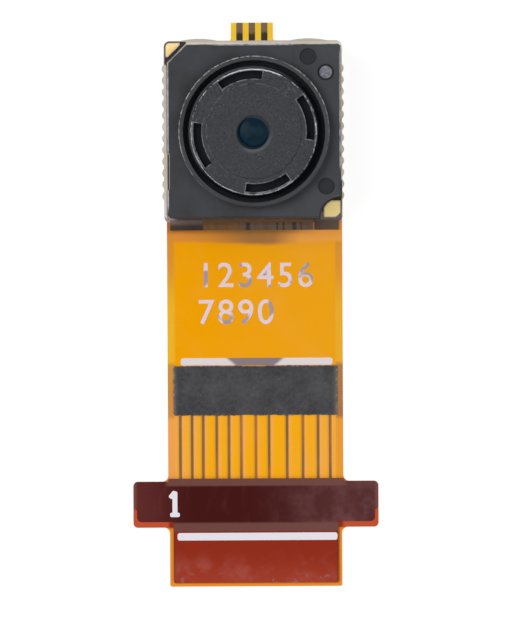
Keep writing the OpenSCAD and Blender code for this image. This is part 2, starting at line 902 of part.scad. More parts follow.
// Inside of the walls: the chamfered and scooped corners stay thick
module cavity_outline() {
    inner_w = holder_w - 2 * holder_wall;
    inner_l = holder_l - 2 * holder_wall;
    difference() {
        translate([0, holder_shift])
            rounded_rect(inner_w, inner_l, corner_r);
        translate([holder_w / 2, holder_bottom])
            circle(scoop_r + holder_wall / 2);
    }
}

// Bevel along one straight front edge that runs through the origin
module edge_cut(l) {
    rotate([0, 45, 0])
        cube([edge_bevel * sqrt(2), l, edge_bevel * sqrt(2)], center = true);
}

module front_bevels() {
    chamfer_y = holder_top - chamfer_leg / 2;
    translate([0, 0, body_z]) {
        for (side = [-1, 1]) {
            translate([side * holder_w / 2, 0, -strip_h])
                edge_cut(2 * holder_l);
            translate([0, holder_shift + side * holder_l / 2, 0])
                rotate([0, 0, 90])
                    edge_cut(2 * holder_w);
        }
        translate([chamfer_leg / 2 - holder_w / 2, chamfer_y, -strip_h])
            rotate([0, 0, -45])
                edge_cut(2 * chamfer_leg);
    }
}

// Lowered faces beside the strip, and the round recesses with the gate stub
module face_cuts() {
    side_w = (holder_w - strip_w) / 2 + eps;
    mark_x = holder_w / 2 - mark_inset;
    face = body_z - strip_h;
    for (side = [-1, 1])
        translate([side * (strip_w + side_w) / 2, holder_shift, face + big / 2])
            cube([side_w, holder_l + eps, big], center = true);
    translate([mark_x, gate_y, face - mark_d])
        difference() {
            cylinder(h = 2 * mark_d, r = mark_r, $fn = 48);
            translate([0, 0, -eps])
                cylinder(h = gate_h + eps, r = gate_r, $fn = 48);
        }
    translate([mark_x, -ejector_y, face - mark_d])
        cylinder(h = 2 * mark_d, r = mark_r, $fn = 48);
    translate([upper_mark_x, holder_top - upper_mark_inset, face - mark_d])
        cylinder(h = 2 * mark_d, r = mark_r, $fn = 48);
}

module lens_holder() {
    color("#3d3e42")
        difference() {
            union() {
                difference() {
                    translate([0, 0, holder_z])
                        linear_extrude(height = body_z - holder_z)
                            holder_outline(0);
                    face_cuts();
                    front_bevels();
                }
                collar();
            }
            holder_bores();
        }
}

module collar() {
    foot = body_z - strip_h - mark_d;
    rotate_extrude()
        polygon([[collar_in_r - eps, foot], [collar_out_r, foot], [collar_out_r, collar_z - collar_bevel],
            [collar_out_r - collar_bevel, collar_z], [collar_in_r - eps, collar_z]]);
}

module holder_bores() {
    window_w = filter_w - 2 * filter_lap;
    window_l = filter_l - 2 * filter_lap;
    translate([0, 0, holder_z - eps])
        linear_extrude(height = cavity_h + eps)
            cavity_outline();
    translate([0, 0, shelf_z - eps])
        linear_extrude(height = shelf_t + 2 * eps)
            rounded_rect(window_w, window_l, corner_r);
    translate([0, 0, bore_z])
        cylinder(h = collar_z, r = thread_r);
    translate([0, 0, ledge_z])
        cylinder(h = collar_z, r = collar_in_r);
    translate([0, 0, collar_z - collar_bevel / 2])
        cylinder(h = collar_bevel, r1 = collar_in_r, r2 = collar_in_r + collar_bevel);
    for (i = [0 : 3])
        rotate(45 + 90 * i)
            translate([core_reach, 0, shelf_z - eps])
                cylinder(h = body_z - core_face - shelf_z, r = core_r, $fn = 48);
}

module filter_glue() {
    window_w = filter_w - 2 * filter_lap;
    window_l = filter_l - 2 * filter_lap;
    color("#d8d4c4")
        translate([0, 0, shelf_z - filter_glue_t])
            linear_extrude(height = filter_glue_t)
                difference() {
                    square([filter_w, filter_l], center = true);
                    rounded_rect(window_w, window_l, corner_r);
                }
}

module ir_filter() {
    color("#8fb7b4")
        translate([0, 0, shelf_z - filter_glue_t - filter_t])
            linear_extrude(height = filter_t)
                square([filter_w, filter_l], center = true);
}

module thread_glue() {
    color("#1b1c1f")
        rotate_extrude()
            translate([neck_r, ledge_z])
                square([collar_in_r - neck_r, lock_h]);
}

// Pocket of the crown that one notch takes away
module notch() {
    far = 2 * barrel_r;
    half = notch_span / 2;
    translate([0, 0, notch_z])
        linear_extrude(height = 2 * notch_d)
            difference() {
                intersection() {
                    polygon([[0, 0], far * [cos(half), -sin(half)], far * [cos(half), sin(half)]]);
                    circle(barrel_r - notch_rim);
                }
                circle(notch_in_r);
            }
}

// Stepped seats of the four lenses, from the rear
module lens_seats() {
    translate([0, 0, barrel_z - eps])
        cylinder(h = rear_spacer_z - barrel_z + eps, r = fourth_lens_r);
    translate([0, 0, rear_spacer_z - eps])
        cylinder(h = front_spacer_z - rear_spacer_z + eps, r = third_lens_r);
    translate([0, 0, front_spacer_z - eps])
        cylinder(h = stop_z - front_spacer_z + eps, r = second_lens_r);
    translate([0, 0, stop_z - eps])
        cylinder(h = seat_z - stop_z + eps, r = first_lens_r);
}

module lens_barrel() {
    color("#3c3f43")
        difference() {
            rotate_extrude()
                polygon([[0, barrel_z], [neck_r, barrel_z], [neck_r, skirt_z],
                    [barrel_r + skirt_flare, skirt_z], [barrel_r + skirt_flare, crown_z - flank_h],
                    [barrel_r, crown_z - rim_bevel], [barrel_r - rim_bevel, crown_z], [face_r, crown_z],
                    [face_r - face_d, face_z], [0, face_z]]);
            for (i = [0 : 3])
                rotate(notch_turn + 90 * i)
                    notch();
            lens_seats();
            cylinder(h = 2 * crown_z, r = aperture_r);
            translate([0, 0, face_z - aperture_bevel])
                cylinder(h = 2 * aperture_bevel, r1 = aperture_r, r2 = aperture_r + 2 * aperture_bevel);
        }
}

module retainer_ring() {
    color("#26272a")
        rotate_extrude()
            translate([fourth_lens_r - retainer_w, retainer_z])
                square([retainer_w, retainer_t]);
}

module spacer(r, z) {
    color("#17181a")
        rotate_extrude()
            translate([r - spacer_w, z])
                square([spacer_w, spacer_t]);
}

// Lens with a flat rim: front and rear surfaces bulge or sink inside the clear radius
module lens(rim_r, z, rim_t, clear_r, front_curve, front_sink, rear_curve, rear_sink) {
    steps = 8;
    front = [for (i = [0 : steps]) let (x = clear_r * i / steps)
        [x, z + rim_t + front_sink * sag(front_curve, clear_r) - front_sink * sag(front_curve, x)]];
    rear = [for (i = [steps : -1 : 0]) let (x = clear_r * i / steps)
        [x, z + rear_sink * sag(rear_curve, clear_r) - rear_sink * sag(rear_curve, x)]];
    rotate_extrude()
        polygon(concat(front, [[clear_r + lens_flat, z + rim_t], [rim_r, z + rim_t], [rim_r, z],
            [clear_r + lens_flat, z]], rear));
}

module first_lens() {
    color("#16343e")
        lens(first_lens_r, first_z, first_rim, aperture_r, first_front_r, 1, first_rear_r, 1);
}

module stop_ring() {
    spacer(first_lens_r, stop_z);
}

module second_lens() {
    color("#9fc3c8")
        lens(second_lens_r, second_z, second_rim, first_lens_r - spacer_w - lens_ring,
            second_front_r, -1, second_rear_r, 1);
}

module front_spacer() {
    spacer(second_lens_r, front_spacer_z);
}

module third_lens() {
    color("#a9c9c9")
        lens(third_lens_r, third_z, third_rim, second_lens_r - spacer_w - lens_ring,
            third_front_r, -1, third_rear_r, -1);
}

module rear_spacer() {
    spacer(third_lens_r, rear_spacer_z);
}

module fourth_lens() {
    color("#b4d0cf")
        lens(fourth_lens_r, fourth_z, fourth_rim, third_lens_r - spacer_w - lens_ring,
            fourth_front_r, -1, fourth_rear_r, -1);
}

rear_board();
rear_coverlay();
contact_fingers();
base_film();
ground_pour();
covered_traces();
tab_traces();
front_coverlay();
front_board();
solder_mask();
corner_pads();
edge_glue();
zif_stiffener();
cover_film();
tape_patch();
ink_lines();
die_glue();
image_sensor();
bond_pads();
bond_wires();
capacitors();
capacitor_ends();
holder_glue();
lens_holder();
filter_glue();
ir_filter();
thread_glue();
lens_barrel();
retainer_ring();
fourth_lens();
rear_spacer();
third_lens();
front_spacer();
second_lens();
stop_ring();
first_lens();
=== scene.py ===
import bpy
import bmesh
import math
from mathutils import Matrix, Vector, noise
from mathutils.bvhtree import BVHTree


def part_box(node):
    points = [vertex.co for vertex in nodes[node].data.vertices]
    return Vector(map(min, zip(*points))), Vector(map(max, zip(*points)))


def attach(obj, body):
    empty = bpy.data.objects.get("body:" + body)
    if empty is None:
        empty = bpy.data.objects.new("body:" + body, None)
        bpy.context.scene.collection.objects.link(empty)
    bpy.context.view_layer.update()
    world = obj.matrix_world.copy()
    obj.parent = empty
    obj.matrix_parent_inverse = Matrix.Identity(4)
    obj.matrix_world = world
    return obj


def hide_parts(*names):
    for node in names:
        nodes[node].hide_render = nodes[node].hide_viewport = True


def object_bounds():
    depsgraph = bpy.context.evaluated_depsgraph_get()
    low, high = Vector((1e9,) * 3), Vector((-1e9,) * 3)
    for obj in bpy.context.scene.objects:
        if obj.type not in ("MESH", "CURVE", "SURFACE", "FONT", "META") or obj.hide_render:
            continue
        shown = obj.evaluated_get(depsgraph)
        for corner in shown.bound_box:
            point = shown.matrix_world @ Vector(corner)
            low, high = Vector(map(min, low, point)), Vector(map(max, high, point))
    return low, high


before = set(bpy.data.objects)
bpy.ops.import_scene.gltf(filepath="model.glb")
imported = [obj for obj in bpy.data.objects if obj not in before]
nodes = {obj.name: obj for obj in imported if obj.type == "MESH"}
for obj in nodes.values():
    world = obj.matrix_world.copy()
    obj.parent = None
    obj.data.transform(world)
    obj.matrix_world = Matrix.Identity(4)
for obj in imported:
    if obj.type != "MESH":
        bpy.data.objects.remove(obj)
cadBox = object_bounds()
print("frame loaded:", len(nodes), "nodes")

mm = 0.001


# where a node's box ends, in millimetres: side 0 or 1 along axis 0, 1 or 2
def edge(node, side, axis):
    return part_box(node)[side][axis] / mm


# edges that several finishes share
pourSide = edge("ground_pour", 1, 0)
tapeMiddle = (edge("tape_patch", 0, 1) + edge("tape_patch", 1, 1)) / 2
boardTop = edge("front_board", 1, 1)
lipBottom = edge("front_board", 0, 1)
filmTop = edge("cover_film", 1, 1)
filmFoot = edge("cover_film", 0, 1)
faceTop = edge("lens_holder", 1, 1)
faceFoot = edge("lens_holder", 0, 1)
barrelTop = edge("lens_barrel", 1, 2)
trackSides = sorted({round(v.co.x / mm, 2) for v in nodes["covered_traces"].data.vertices})
trackGaps = [(a + b) / 2 for a, b in zip(trackSides[1:-1:2], trackSides[2::2])]


# colours are given as they look, 0 to 255
def tint(red, green, blue):
    def bend(value):
        value = value / 255
        return value / 12.92 if value <= 0.04045 else ((value + 0.055) / 1.055) ** 2.4
    return (bend(red), bend(green), bend(blue))


def addObject(name, data):
    thing = bpy.data.objects.new(name, data)
    bpy.context.scene.collection.objects.link(thing)
    return thing


# a mesh object from a bmesh, which is used up
def makePiece(bm, name, paint):
    mesh = bpy.data.meshes.new(name)
    bm.to_mesh(mesh)
    bm.free()
    mesh.materials.append(paint)
    return addObject(name, mesh)


def dress(piece, slot, *replaced):
    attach(piece, "root")
    if replaced:
        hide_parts(*replaced)


# a shader node with its inputs set or linked
def add(tree, kind, inputs=(), **settings):
    node = tree.nodes.new("ShaderNode" + kind)
    for setting, value in settings.items():
        setattr(node, setting, value)
    for socket, value in dict(inputs).items():
        put(tree, node.inputs[socket], value)
    return node


def put(tree, socket, value):
    if isinstance(value, bpy.types.NodeSocket):
        tree.links.new(value, socket)
    elif socket.type == "RGBA" and len(value) == 3:
        socket.default_value = tuple(value) + (1,)
    else:
        socket.default_value = value


def maths(tree, kind, a, b=0.0):
    return add(tree, "Math", {0: a, 1: b}, operation=kind).outputs[0]


def plus(tree, a, b):
    return maths(tree, "ADD", a, b)


def minus(tree, a, b):
    return maths(tree, "SUBTRACT", a, b)


def times(tree, *shares):
    result = shares[0]
    for share in shares[1:]:
        result = maths(tree, "MULTIPLY", result, share)
    return result


def most(tree, a, b):
    return maths(tree, "MAXIMUM", a, b)


# how far a lies from b, either way
def apart(tree, a, b):
    return maths(tree, "ABSOLUTE", minus(tree, a, b))


# rises from 0 to 1 as the value goes from start to end, and falls where start is the greater
def rise(tree, value, start, end):
    if start < end:
        low, high, first, last = start, end, 0.0, 1.0
    else:
        low, high, first, last = end, start, 1.0, 0.0
    return add(tree, "MapRange", {"Value": value, "From Min": low, "From Max": high, "To Min": first,
                                  "To Max": last}, interpolation_type="SMOOTHSTEP").outputs["Result"]


def mix(tree, share, a, b):
    node = add(tree, "Mix", data_type="RGBA")
    for index, value in ((0, share), (6, a), (7, b)):
        put(tree, node.inputs[index], value)
    return node.outputs[2]


def mixValue(tree, share, start, end):
    return plus(tree, times(tree, share, end - start), start)


def shades(tree, value, *stops):
    node = add(tree, "ValToRGB", {"Fac": value})
    elements = node.color_ramp.elements
    while len(elements) < len(stops):
        elements.new(0.5)
    for element, (where, colour) in zip(elements, stops):
        element.position = where
        element.color = tuple(colour) + (1,)
    return node.outputs["Color"]


# object coordinates in millimetres, stretched as asked
def place(tree, scale=(1, 1, 1)):
    source = add(tree, "TexCoord").outputs["Object"]
    return add(tree, "Mapping", {"Vector": source, "Scale": [s / mm for s in scale]}).outputs[0]


def axes(tree, where):
    return add(tree, "SeparateXYZ", {0: where}).outputs


# a spot on the piece in millimetres, whole and by axis
def spots(tree):
    where = place(tree)
    x, y, z = axes(tree, where)
    return where, x, y, z


def cloud(tree, where, size, detail=3.0, rough=0.55):
    return add(tree, "TexNoise", {"Vector": where, "Scale": 1 / size, "Detail": detail,
                                  "Roughness": rough}).outputs["Fac"]


def axisDistance(tree, x, y):
    return maths(tree, "SQRT", plus(tree, times(tree, x, x), times(tree, y, y)))


def newPaint(name, roughness, specular, metallic=0.0):
    paint = bpy.data.materials.new(name)
    paint.use_nodes = True
    tree = paint.node_tree
    shader = tree.nodes["Principled BSDF"]
    shader.inputs["Roughness"].default_value = roughness
    shader.inputs["Specular IOR Level"].default_value = specular
    shader.inputs["Metallic"].default_value = metallic
    return paint, tree, shader


# colour, and a relief of the given depth in millimetres
def finish(tree, shader, colour, height, depth):
    put(tree, shader.inputs["Base Color"], colour)
    bump = add(tree, "Bump", {"Height": height, "Distance": depth * mm, "Strength": 1.0})
    put(tree, shader.inputs["Normal"], bump.outputs["Normal"])


# camera, lamps, world and floor; camera sizes in millimetres, lamps as place, size and power
studio = {
    "distance": 400, "lens": 455.4, "overX": 0.05, "overY": -9.22, "roll": -0.3,
    "lamps": {
        "key": ((-0.22, 0.08, 0.46), 0.28, 1.45),
        "fill": ((0.26, -0.02, 0.46), 0.34, 0.5),
        "foot": ((0.02, -0.30, 0.44), 0.30, 0.42),
    },
    "world": 0.32, "floor": 0.8, "floorSize": 3, "floorGap": 0.01, "glow": 0.8, "glowStrength": 1.1,
}


def makeCamera():
    bpy.context.scene.view_settings.view_transform = "Standard"
    camera = addObject("camera", bpy.data.cameras.new("camera"))
    camera.location = (studio["overX"] * mm, studio["overY"] * mm, studio["distance"] * mm)
    camera.rotation_euler = (0, 0, math.radians(studio["roll"]))
    camera.data.lens = studio["lens"]
    camera.data.clip_start = 0.01
    bpy.context.scene.camera = camera


def makeLamps():
    for name, (spot, size, power) in studio["lamps"].items():
        lamp = addObject(name, bpy.data.lights.new(name, "AREA"))
        lamp.location = spot
        lamp.data.shape = "DISK"
        lamp.data.size = size
        lamp.data.energy = power
        aim = Vector((0, studio["overY"] * mm, 0)) - lamp.location
        lamp.rotation_euler = aim.to_track_quat("-Z", "Y").to_euler()


# 1 where the camera sees the thing itself, in a reflection or through glass
def seenDirectly(tree):
    path = add(tree, "LightPath").outputs
    seen = most(tree, path["Is Camera Ray"], path["Is Glossy Ray"])
    return most(tree, seen, path["Is Transmission Ray"])


def makeWorld():
    world = bpy.data.worlds.new("studio")
    bpy.context.scene.world = world
    world.use_nodes = True
    tree = world.node_tree
    strength = add(tree, "MapRange", {"Value": seenDirectly(tree), "To Min": studio["world"], "To Max": 1.0})
    back = tree.nodes["Background"]
    put(tree, back.inputs["Color"], (1, 1, 1))
    put(tree, back.inputs["Strength"], strength.outputs["Result"])


def makeFloor():
    paint, tree, shader = newPaint("floor", 0.9, 0.0)
    put(tree, shader.inputs["Base Color"], (studio["floor"],) * 3)
    glow = add(tree, "Emission", {"Strength": studio["glowStrength"]})
    share = times(tree, seenDirectly(tree), studio["glow"])
    blend = add(tree, "MixShader", {0: share, 1: shader.outputs[0], 2: glow.outputs[0]})
    put(tree, tree.nodes["Material Output"].inputs["Surface"], blend.outputs[0])
    bm = bmesh.new()
    bmesh.ops.create_grid(bm, x_segments=1, y_segments=1, size=studio["floorSize"])
    bmesh.ops.translate(bm, verts=bm.verts, vec=(0, 0, cadBox[0][2] - studio["floorGap"] * mm))
    makePiece(bm, "floor", paint)


makeCamera()
makeLamps()
makeWorld()
makeFloor()
print("stage ready")


# in each look, a pair of places such as leftX or topY is where a colour starts and where it
# is full, in millimetres

# black moulded plastic of the body, with worn front edges carrying painted highlights, and painted shade on
# the recess floors and in the groove round the barrel; heights and radii in millimetres
holderLook = {
    "roughness": 0.55, "specular": 0.2, "relief": 0.003, "cloud": 1.8, "grain": 0.05,
    "dark": tint(38, 38, 40), "light": tint(54, 56, 61), "paler": (-3.0, 4.0), "palerShare": 0.16,
    "worn": tint(190, 187, 188), "wearAndHighlight": 0.8, "ringWearAndHighlight": 0.7, "wearSize": 0.5, "ringPatch": 0.24,
    "bevelFrom": 3.6, "bevelTo": 4.0, "scoopLine": 6.3,
    "ringFrom": 4.42, "ringRadius": 3.57, "ringHighlightTop": (-3.2, 1.5),
    "recess": tint(12, 17, 22), "recessShare": 0.9, "recessFrom": 3.55, "recessTo": 3.655,
    "gate": tint(122, 122, 131), "gateDark": tint(92, 91, 100), "gateFrom": 3.66, "gateTo": 3.71,
    "grooveShade": tint(17, 21, 26), "grooveRadius": 3.53, "grooveTop": 4.47, "grooveShine": 0.02,
}


def holderPaint():
    look = holderLook
    paint, tree, shader = newPaint("holderPlastic", look["roughness"], look["specular"])
    where, x, y, z = spots(tree)
    soft = cloud(tree, where, look["cloud"], 5.0, 0.6)
    level = plus(tree, soft, times(tree, rise(tree, x, *look["paler"]), look["palerShare"]))
    colour = shades(tree, level, (0.32, look["dark"]), (0.74, look["light"]))
    facing = axes(tree, add(tree, "TexCoord").outputs["Normal"])["Z"]
    flat = rise(tree, facing, 0.9, 0.97)
    # painted shade on the recess floors; they and the gate stub lie just under the face
    low, high = look["recessFrom"], look["recessTo"]
    floor = times(tree, flat, rise(tree, z, high, high - 0.01), rise(tree, z, low, low + 0.01))
    colour = mix(tree, times(tree, floor, look["recessShare"]), colour, look["recess"])
    low, high = look["gateFrom"], look["gateTo"]
    stub = times(tree, flat, rise(tree, z, high, high - 0.005), rise(tree, z, low, low + 0.01))
    mottle = shades(tree, cloud(tree, where, 0.16, 3.0), (0.35, look["gateDark"]), (0.65, look["gate"]))
    colour = mix(tree, stub, colour, mottle)
    # rubbed bevels with painted highlights, less so towards the tail and at the scooped corner
    bevel = times(tree, rise(tree, facing, 0.45, 0.6), rise(tree, facing, 0.95, 0.85))
    rubbedAndLit = times(tree, bevel, rise(tree, cloud(tree, where, look["wearSize"], 5.0, 0.7), 0.25, 0.6))
    low, high, line = look["bevelFrom"], look["bevelTo"], look["scoopLine"]
    outer = times(tree, rise(tree, z, low, low + 0.05), rise(tree, z, high, high - 0.1),
                  rise(tree, y, faceFoot + 0.1, faceFoot + 0.7),
                  rise(tree, minus(tree, x, y), line, line - 0.4), look["wearAndHighlight"])
    # the collar's rim: patchy wear and a painted highlight, strongest at the top
    radius = axisDistance(tree, x, y)
    ring = rise(tree, z, look["ringFrom"], look["ringFrom"] + 0.02)
    upper = rise(tree, plus(tree, y, times(tree, x, -0.3)), *look["ringHighlightTop"])
    patchy = rise(tree, cloud(tree, where, look["ringPatch"], 5.0, 0.75), 0.36, 0.6)
    inside = look["ringRadius"]
    rimShare = times(tree, rise(tree, radius, inside, inside + 0.03), look["ringWearAndHighlight"])
    ringShare = times(tree, ring, upper, patchy, plus(tree, rimShare, 0.08))
    colour = mix(tree, times(tree, rubbedAndLit, plus(tree, outer, ringShare)), colour, look["worn"])
    # painted shade keeps the groove round the barrel dark, with less shine
    outside, top = look["grooveRadius"], look["grooveTop"]
    grooveShade = times(tree, rise(tree, radius, outside, outside - 0.04), rise(tree, z, top, top - 0.05))
    colour = mix(tree, grooveShade, colour, look["grooveShade"])
    shine = mixValue(tree, grooveShade, look["specular"], look["grooveShine"])
    put(tree, shader.inputs["Specular IOR Level"], shine)
    finish(tree, shader, colour, cloud(tree, where, look["grain"], 3.0, 0.6), look["relief"])
    return paint


# black matt plastic of the lens barrel: grained face, rubbed rim and notch edges with painted highlights,
# notches darker with painted shade, painted light and shade on the flank and a painted highlight round the
# opening; radii and heights in millimetres, angles in degrees
barrelLook = {
    "roughness": 0.6, "specular": 0.2, "relief": 0.006, "size": 0.085,
    "dark": tint(36, 37, 40), "light": tint(54, 56, 61), "grain": tint(98, 98, 102), "pitsAndShade": tint(14, 18, 22),
    "pocketToneAndShade": tint(26, 30, 34), "pocketFrom": 0.3, "pocketTo": 0.45, "pocketShine": 0.04,
    "turn": 14, "halfSpan": 22.5, "notchIn": 2.58, "edge": tint(120, 122, 126), "edgeWearAndHighlight": 0.8,
    "stepRadius": 2.33, "stepHighlight": 0.5,
    "rim": 3.065, "rimX": -0.015, "rimY": -0.03, "rimWobble": 0.1, "worn": tint(214, 216, 220),
    "flank": tint(84, 88, 94), "flankRadius": 3.1,
    "opening": tint(14, 26, 34), "wall": tint(62, 63, 67), "wallRadius": 0.94, "haloHighlightShare": 0.5,
    "openRadius": 0.78, "openX": -0.07, "openY": -0.095,
}


def barrelPaint():
    look = barrelLook
    paint, tree, shader = newPaint("barrelPlastic", look["roughness"], look["specular"])
    where, x, y, z = spots(tree)
    radius = axisDistance(tree, x, y)
    face = rise(tree, z, barrelTop - 0.1, barrelTop - 0.08)
    colour = shades(tree, cloud(tree, where, 0.14, 4.0, 0.75), (0.35, look["dark"]), (0.65, look["light"]))
    speck = cloud(tree, where, look["size"], 2.0, 0.5)
    smooth = rise(tree, radius, 0.95, 1.2)
    grain = times(tree, rise(tree, speck, 0.6, 0.7), rise(tree, cloud(tree, where, 0.9), 0.38, 0.62),
                  face, smooth, 0.7)
    colour = mix(tree, grain, colour, look["grain"])
    pits = times(tree, rise(tree, speck, 0.4, 0.3), face, smooth, 0.7)
    colour = mix(tree, pits, colour, look["pitsAndShade"])
    # notches: darker plastic below the face with painted shade on it, and rubbed edges round them
    sunkToneAndShade = rise(tree, z, barrelTop - look["pocketFrom"], barrelTop - look["pocketTo"])
    colour = mix(tree, sunkToneAndShade, colour, look["pocketToneAndShade"])
    angle = times(tree, maths(tree, "ARCTAN2", y, x), 180 / math.pi)
    quarter = maths(tree, "FLOORED_MODULO", minus(tree, angle, look["turn"] - 45), 90)
    away = apart(tree, quarter, 45)
    sideways = times(tree, minus(tree, away, look["halfSpan"]), radius, math.pi / 180)
    border = most(tree, sideways, minus(tree, look["notchIn"], radius))
    lip = times(tree, rise(tree, border, 0.07, 0.03), rise(tree, radius, 2.4, 2.5), face)
    scratch = cloud(tree, where, 0.4, 5.0, 0.75)
    # rubbed notch edges with a painted highlight
    lipWearAndHighlight = times(tree, lip, rise(tree, scratch, 0.38, 0.6), look["edgeWearAndHighlight"])
    colour = mix(tree, lipWearAndHighlight, colour, look["edge"])
    # painted highlight on the step round the sunken face, at the upper left
    step = times(tree, rise(tree, apart(tree, radius, look["stepRadius"]), 0.05, 0.01), face)
    seen = rise(tree, minus(tree, y, x), -2.4, 1.5)
    stepHighlightShare = times(tree, step, seen, rise(tree, scratch, 0.4, 0.6), look["stepHighlight"])
    colour = mix(tree, stepHighlightShare, colour, look["edge"])
    # outer rim, rubbed in patches, with a painted highlight strongest at the top and foot
    wobble = times(tree, minus(tree, cloud(tree, where, 0.22, 4.0, 0.7), 0.5), look["rimWobble"])
    rimRadius = axisDistance(tree, minus(tree, x, look["rimX"]), minus(tree, y, look["rimY"]))
    off = apart(tree, plus(tree, rimRadius, wobble), look["rim"])
    rim = times(tree, rise(tree, off, 0.038, 0.012), rise(tree, z, barrelTop - 0.2, barrelTop - 0.15))
    broken = times(tree, cloud(tree, where, 0.12, 5.0, 0.8), 0.9)
    ends = rise(tree, maths(tree, "ABSOLUTE", y), 2.2, 3.0)
    broad = times(tree, plus(tree, cloud(tree, where, 1.6, 2.0), times(tree, ends, 0.25)), 0.4)
    rubbedAndLit = times(tree, rim, rise(tree, plus(tree, broken, broad), 0.58, 0.78))
    colour = mix(tree, rubbedAndLit, colour, look["worn"])
    # flank in the groove: painted light at the upper left, painted shade elsewhere
    flank = rise(tree, radius, look["flankRadius"], look["flankRadius"] + 0.04)
    lit = times(tree, rise(tree, minus(tree, y, x), -0.5, 2.5), rise(tree, radius, 3.24, 3.16))
    colour = mix(tree, flank, colour, mix(tree, lit, look["pitsAndShade"], look["flank"]))
    # opening of the lens: darker wall at its lower left, painted highlight on the bevel at its lower right
    nearness = axisDistance(tree, minus(tree, x, look["openX"]), minus(tree, y, look["openY"]))
    wallRadius, openRadius = look["wallRadius"], look["openRadius"]
    colour = mix(tree, rise(tree, radius, wallRadius, wallRadius - 0.06), colour, look["wall"])
    towards = minus(tree, times(tree, x, 0.5), times(tree, y, 0.87))
    haloHighlight = times(tree, rise(tree, nearness, 1.02, 0.86), rise(tree, towards, 0.2, 0.8), look["haloHighlightShare"])
    colour = mix(tree, haloHighlight, colour, look["grain"])
    colour = mix(tree, rise(tree, nearness, openRadius + 0.03, openRadius - 0.01), colour, look["opening"])
    shine = mixValue(tree, most(tree, flank, sunkToneAndShade), look["specular"], look["pocketShine"])
    put(tree, shader.inputs["Specular IOR Level"], shine)
    finish(tree, shader, colour, speck, look["relief"])
    return paint


# coated lenses, dark from inside, with a painted reflection in the middle
lensLook = {
    "roughness": 0.25, "specular": 0.03, "relief": 0.0005,
    "middle": tint(16, 30, 40), "outer": tint(9, 36, 50), "spot": tint(26, 52, 62), "wall": tint(60, 63, 67),
}


def lensPaint():
    look = lensLook
    paint, tree, shader = newPaint("coatedLens", look["roughness"], look["specular"])
    where, x, y = spots(tree)[:3]
    radius = axisDistance(tree, x, y)
    colour = mix(tree, rise(tree, radius, 0.1, 0.75), look["middle"], look["outer"])
    # lighter patches towards the middle: painted reflection in the coating
    spot = times(tree, rise(tree, cloud(tree, where, 0.5), 0.45, 0.65), rise(tree, radius, 0.75, 0.3), 0.6)
    colour = mix(tree, spot, colour, look["spot"])
    # lit wall seen behind the opening's upper right
    nearness = axisDistance(tree, minus(tree, x, barrelLook["openX"]), minus(tree, y, barrelLook["openY"]))
    openRadius = barrelLook["openRadius"]
    colour = mix(tree, rise(tree, nearness, openRadius - 0.03, openRadius + 0.01), colour, look["wall"])
    finish(tree, shader, colour, cloud(tree, where, 0.2), look["relief"])
    return paint


# glass-fibre laminate: layered edges and a woven face, greyer round the holder, with painted shade below it
boardLook = {
    "roughness": 0.65, "specular": 0.2, "relief": 0.01, "layers": (0.5, 0.5, 12),
    "dark": tint(214, 200, 172), "light": tint(236, 226, 204), "pale": tint(246, 240, 228),
    "spot": tint(176, 150, 112), "left": tint(206, 200, 196), "leftX": (-4.0, -4.2),
    "top": tint(222, 216, 210), "topEdge": tint(188, 176, 152), "foot": tint(158, 140, 130),
}


def laminatePaint():
    look = boardLook
    paint, tree, shader = newPaint("laminate", look["roughness"], look["specular"])
    where, x, y = spots(tree)[:3]
    layers = cloud(tree, place(tree, look["layers"]), 0.5, 4.0, 0.6)
    colour = shades(tree, layers, (0.3, look["dark"]), (0.55, look["light"]), (0.75, look["pale"]))
    fleck = rise(tree, cloud(tree, where, 0.35, 4.0, 0.6), 0.5, 0.75)
    colour = mix(tree, times(tree, fleck, 0.4), colour, look["spot"])
    colour = mix(tree, times(tree, rise(tree, y, faceTop - 0.1, faceTop + 0.1), 0.7), colour, look["top"])
    colour = mix(tree, times(tree, rise(tree, x, *look["leftX"]), 0.6), colour, look["left"])
    outermost = rise(tree, y, faceTop + 0.12, faceTop + 0.26)
    colour = mix(tree, times(tree, outermost, 0.6), colour, look["topEdge"])
    # painted shade on the lip below the body
    colour = mix(tree, rise(tree, y, faceFoot + 0.15, faceFoot - 0.05), colour, look["foot"])
    finish(tree, shader, colour, layers, look["relief"])
    return paint


# dark solder mask on the board
maskLook = {
    "roughness": 0.4, "specular": 0.12, "relief": 0.003, "padWide": 0.74,
    "dark": tint(46, 36, 31), "light": tint(66, 54, 48), "right": tint(104, 86, 72), "rightX": (2.0, 4.2),
    "corner": tint(132, 118, 116), "border": tint(48, 36, 32),
    "glue": tint(112, 78, 46), "glueLeft": -2.5, "glueRight": 2.92, "smear": tint(122, 104, 98),
}


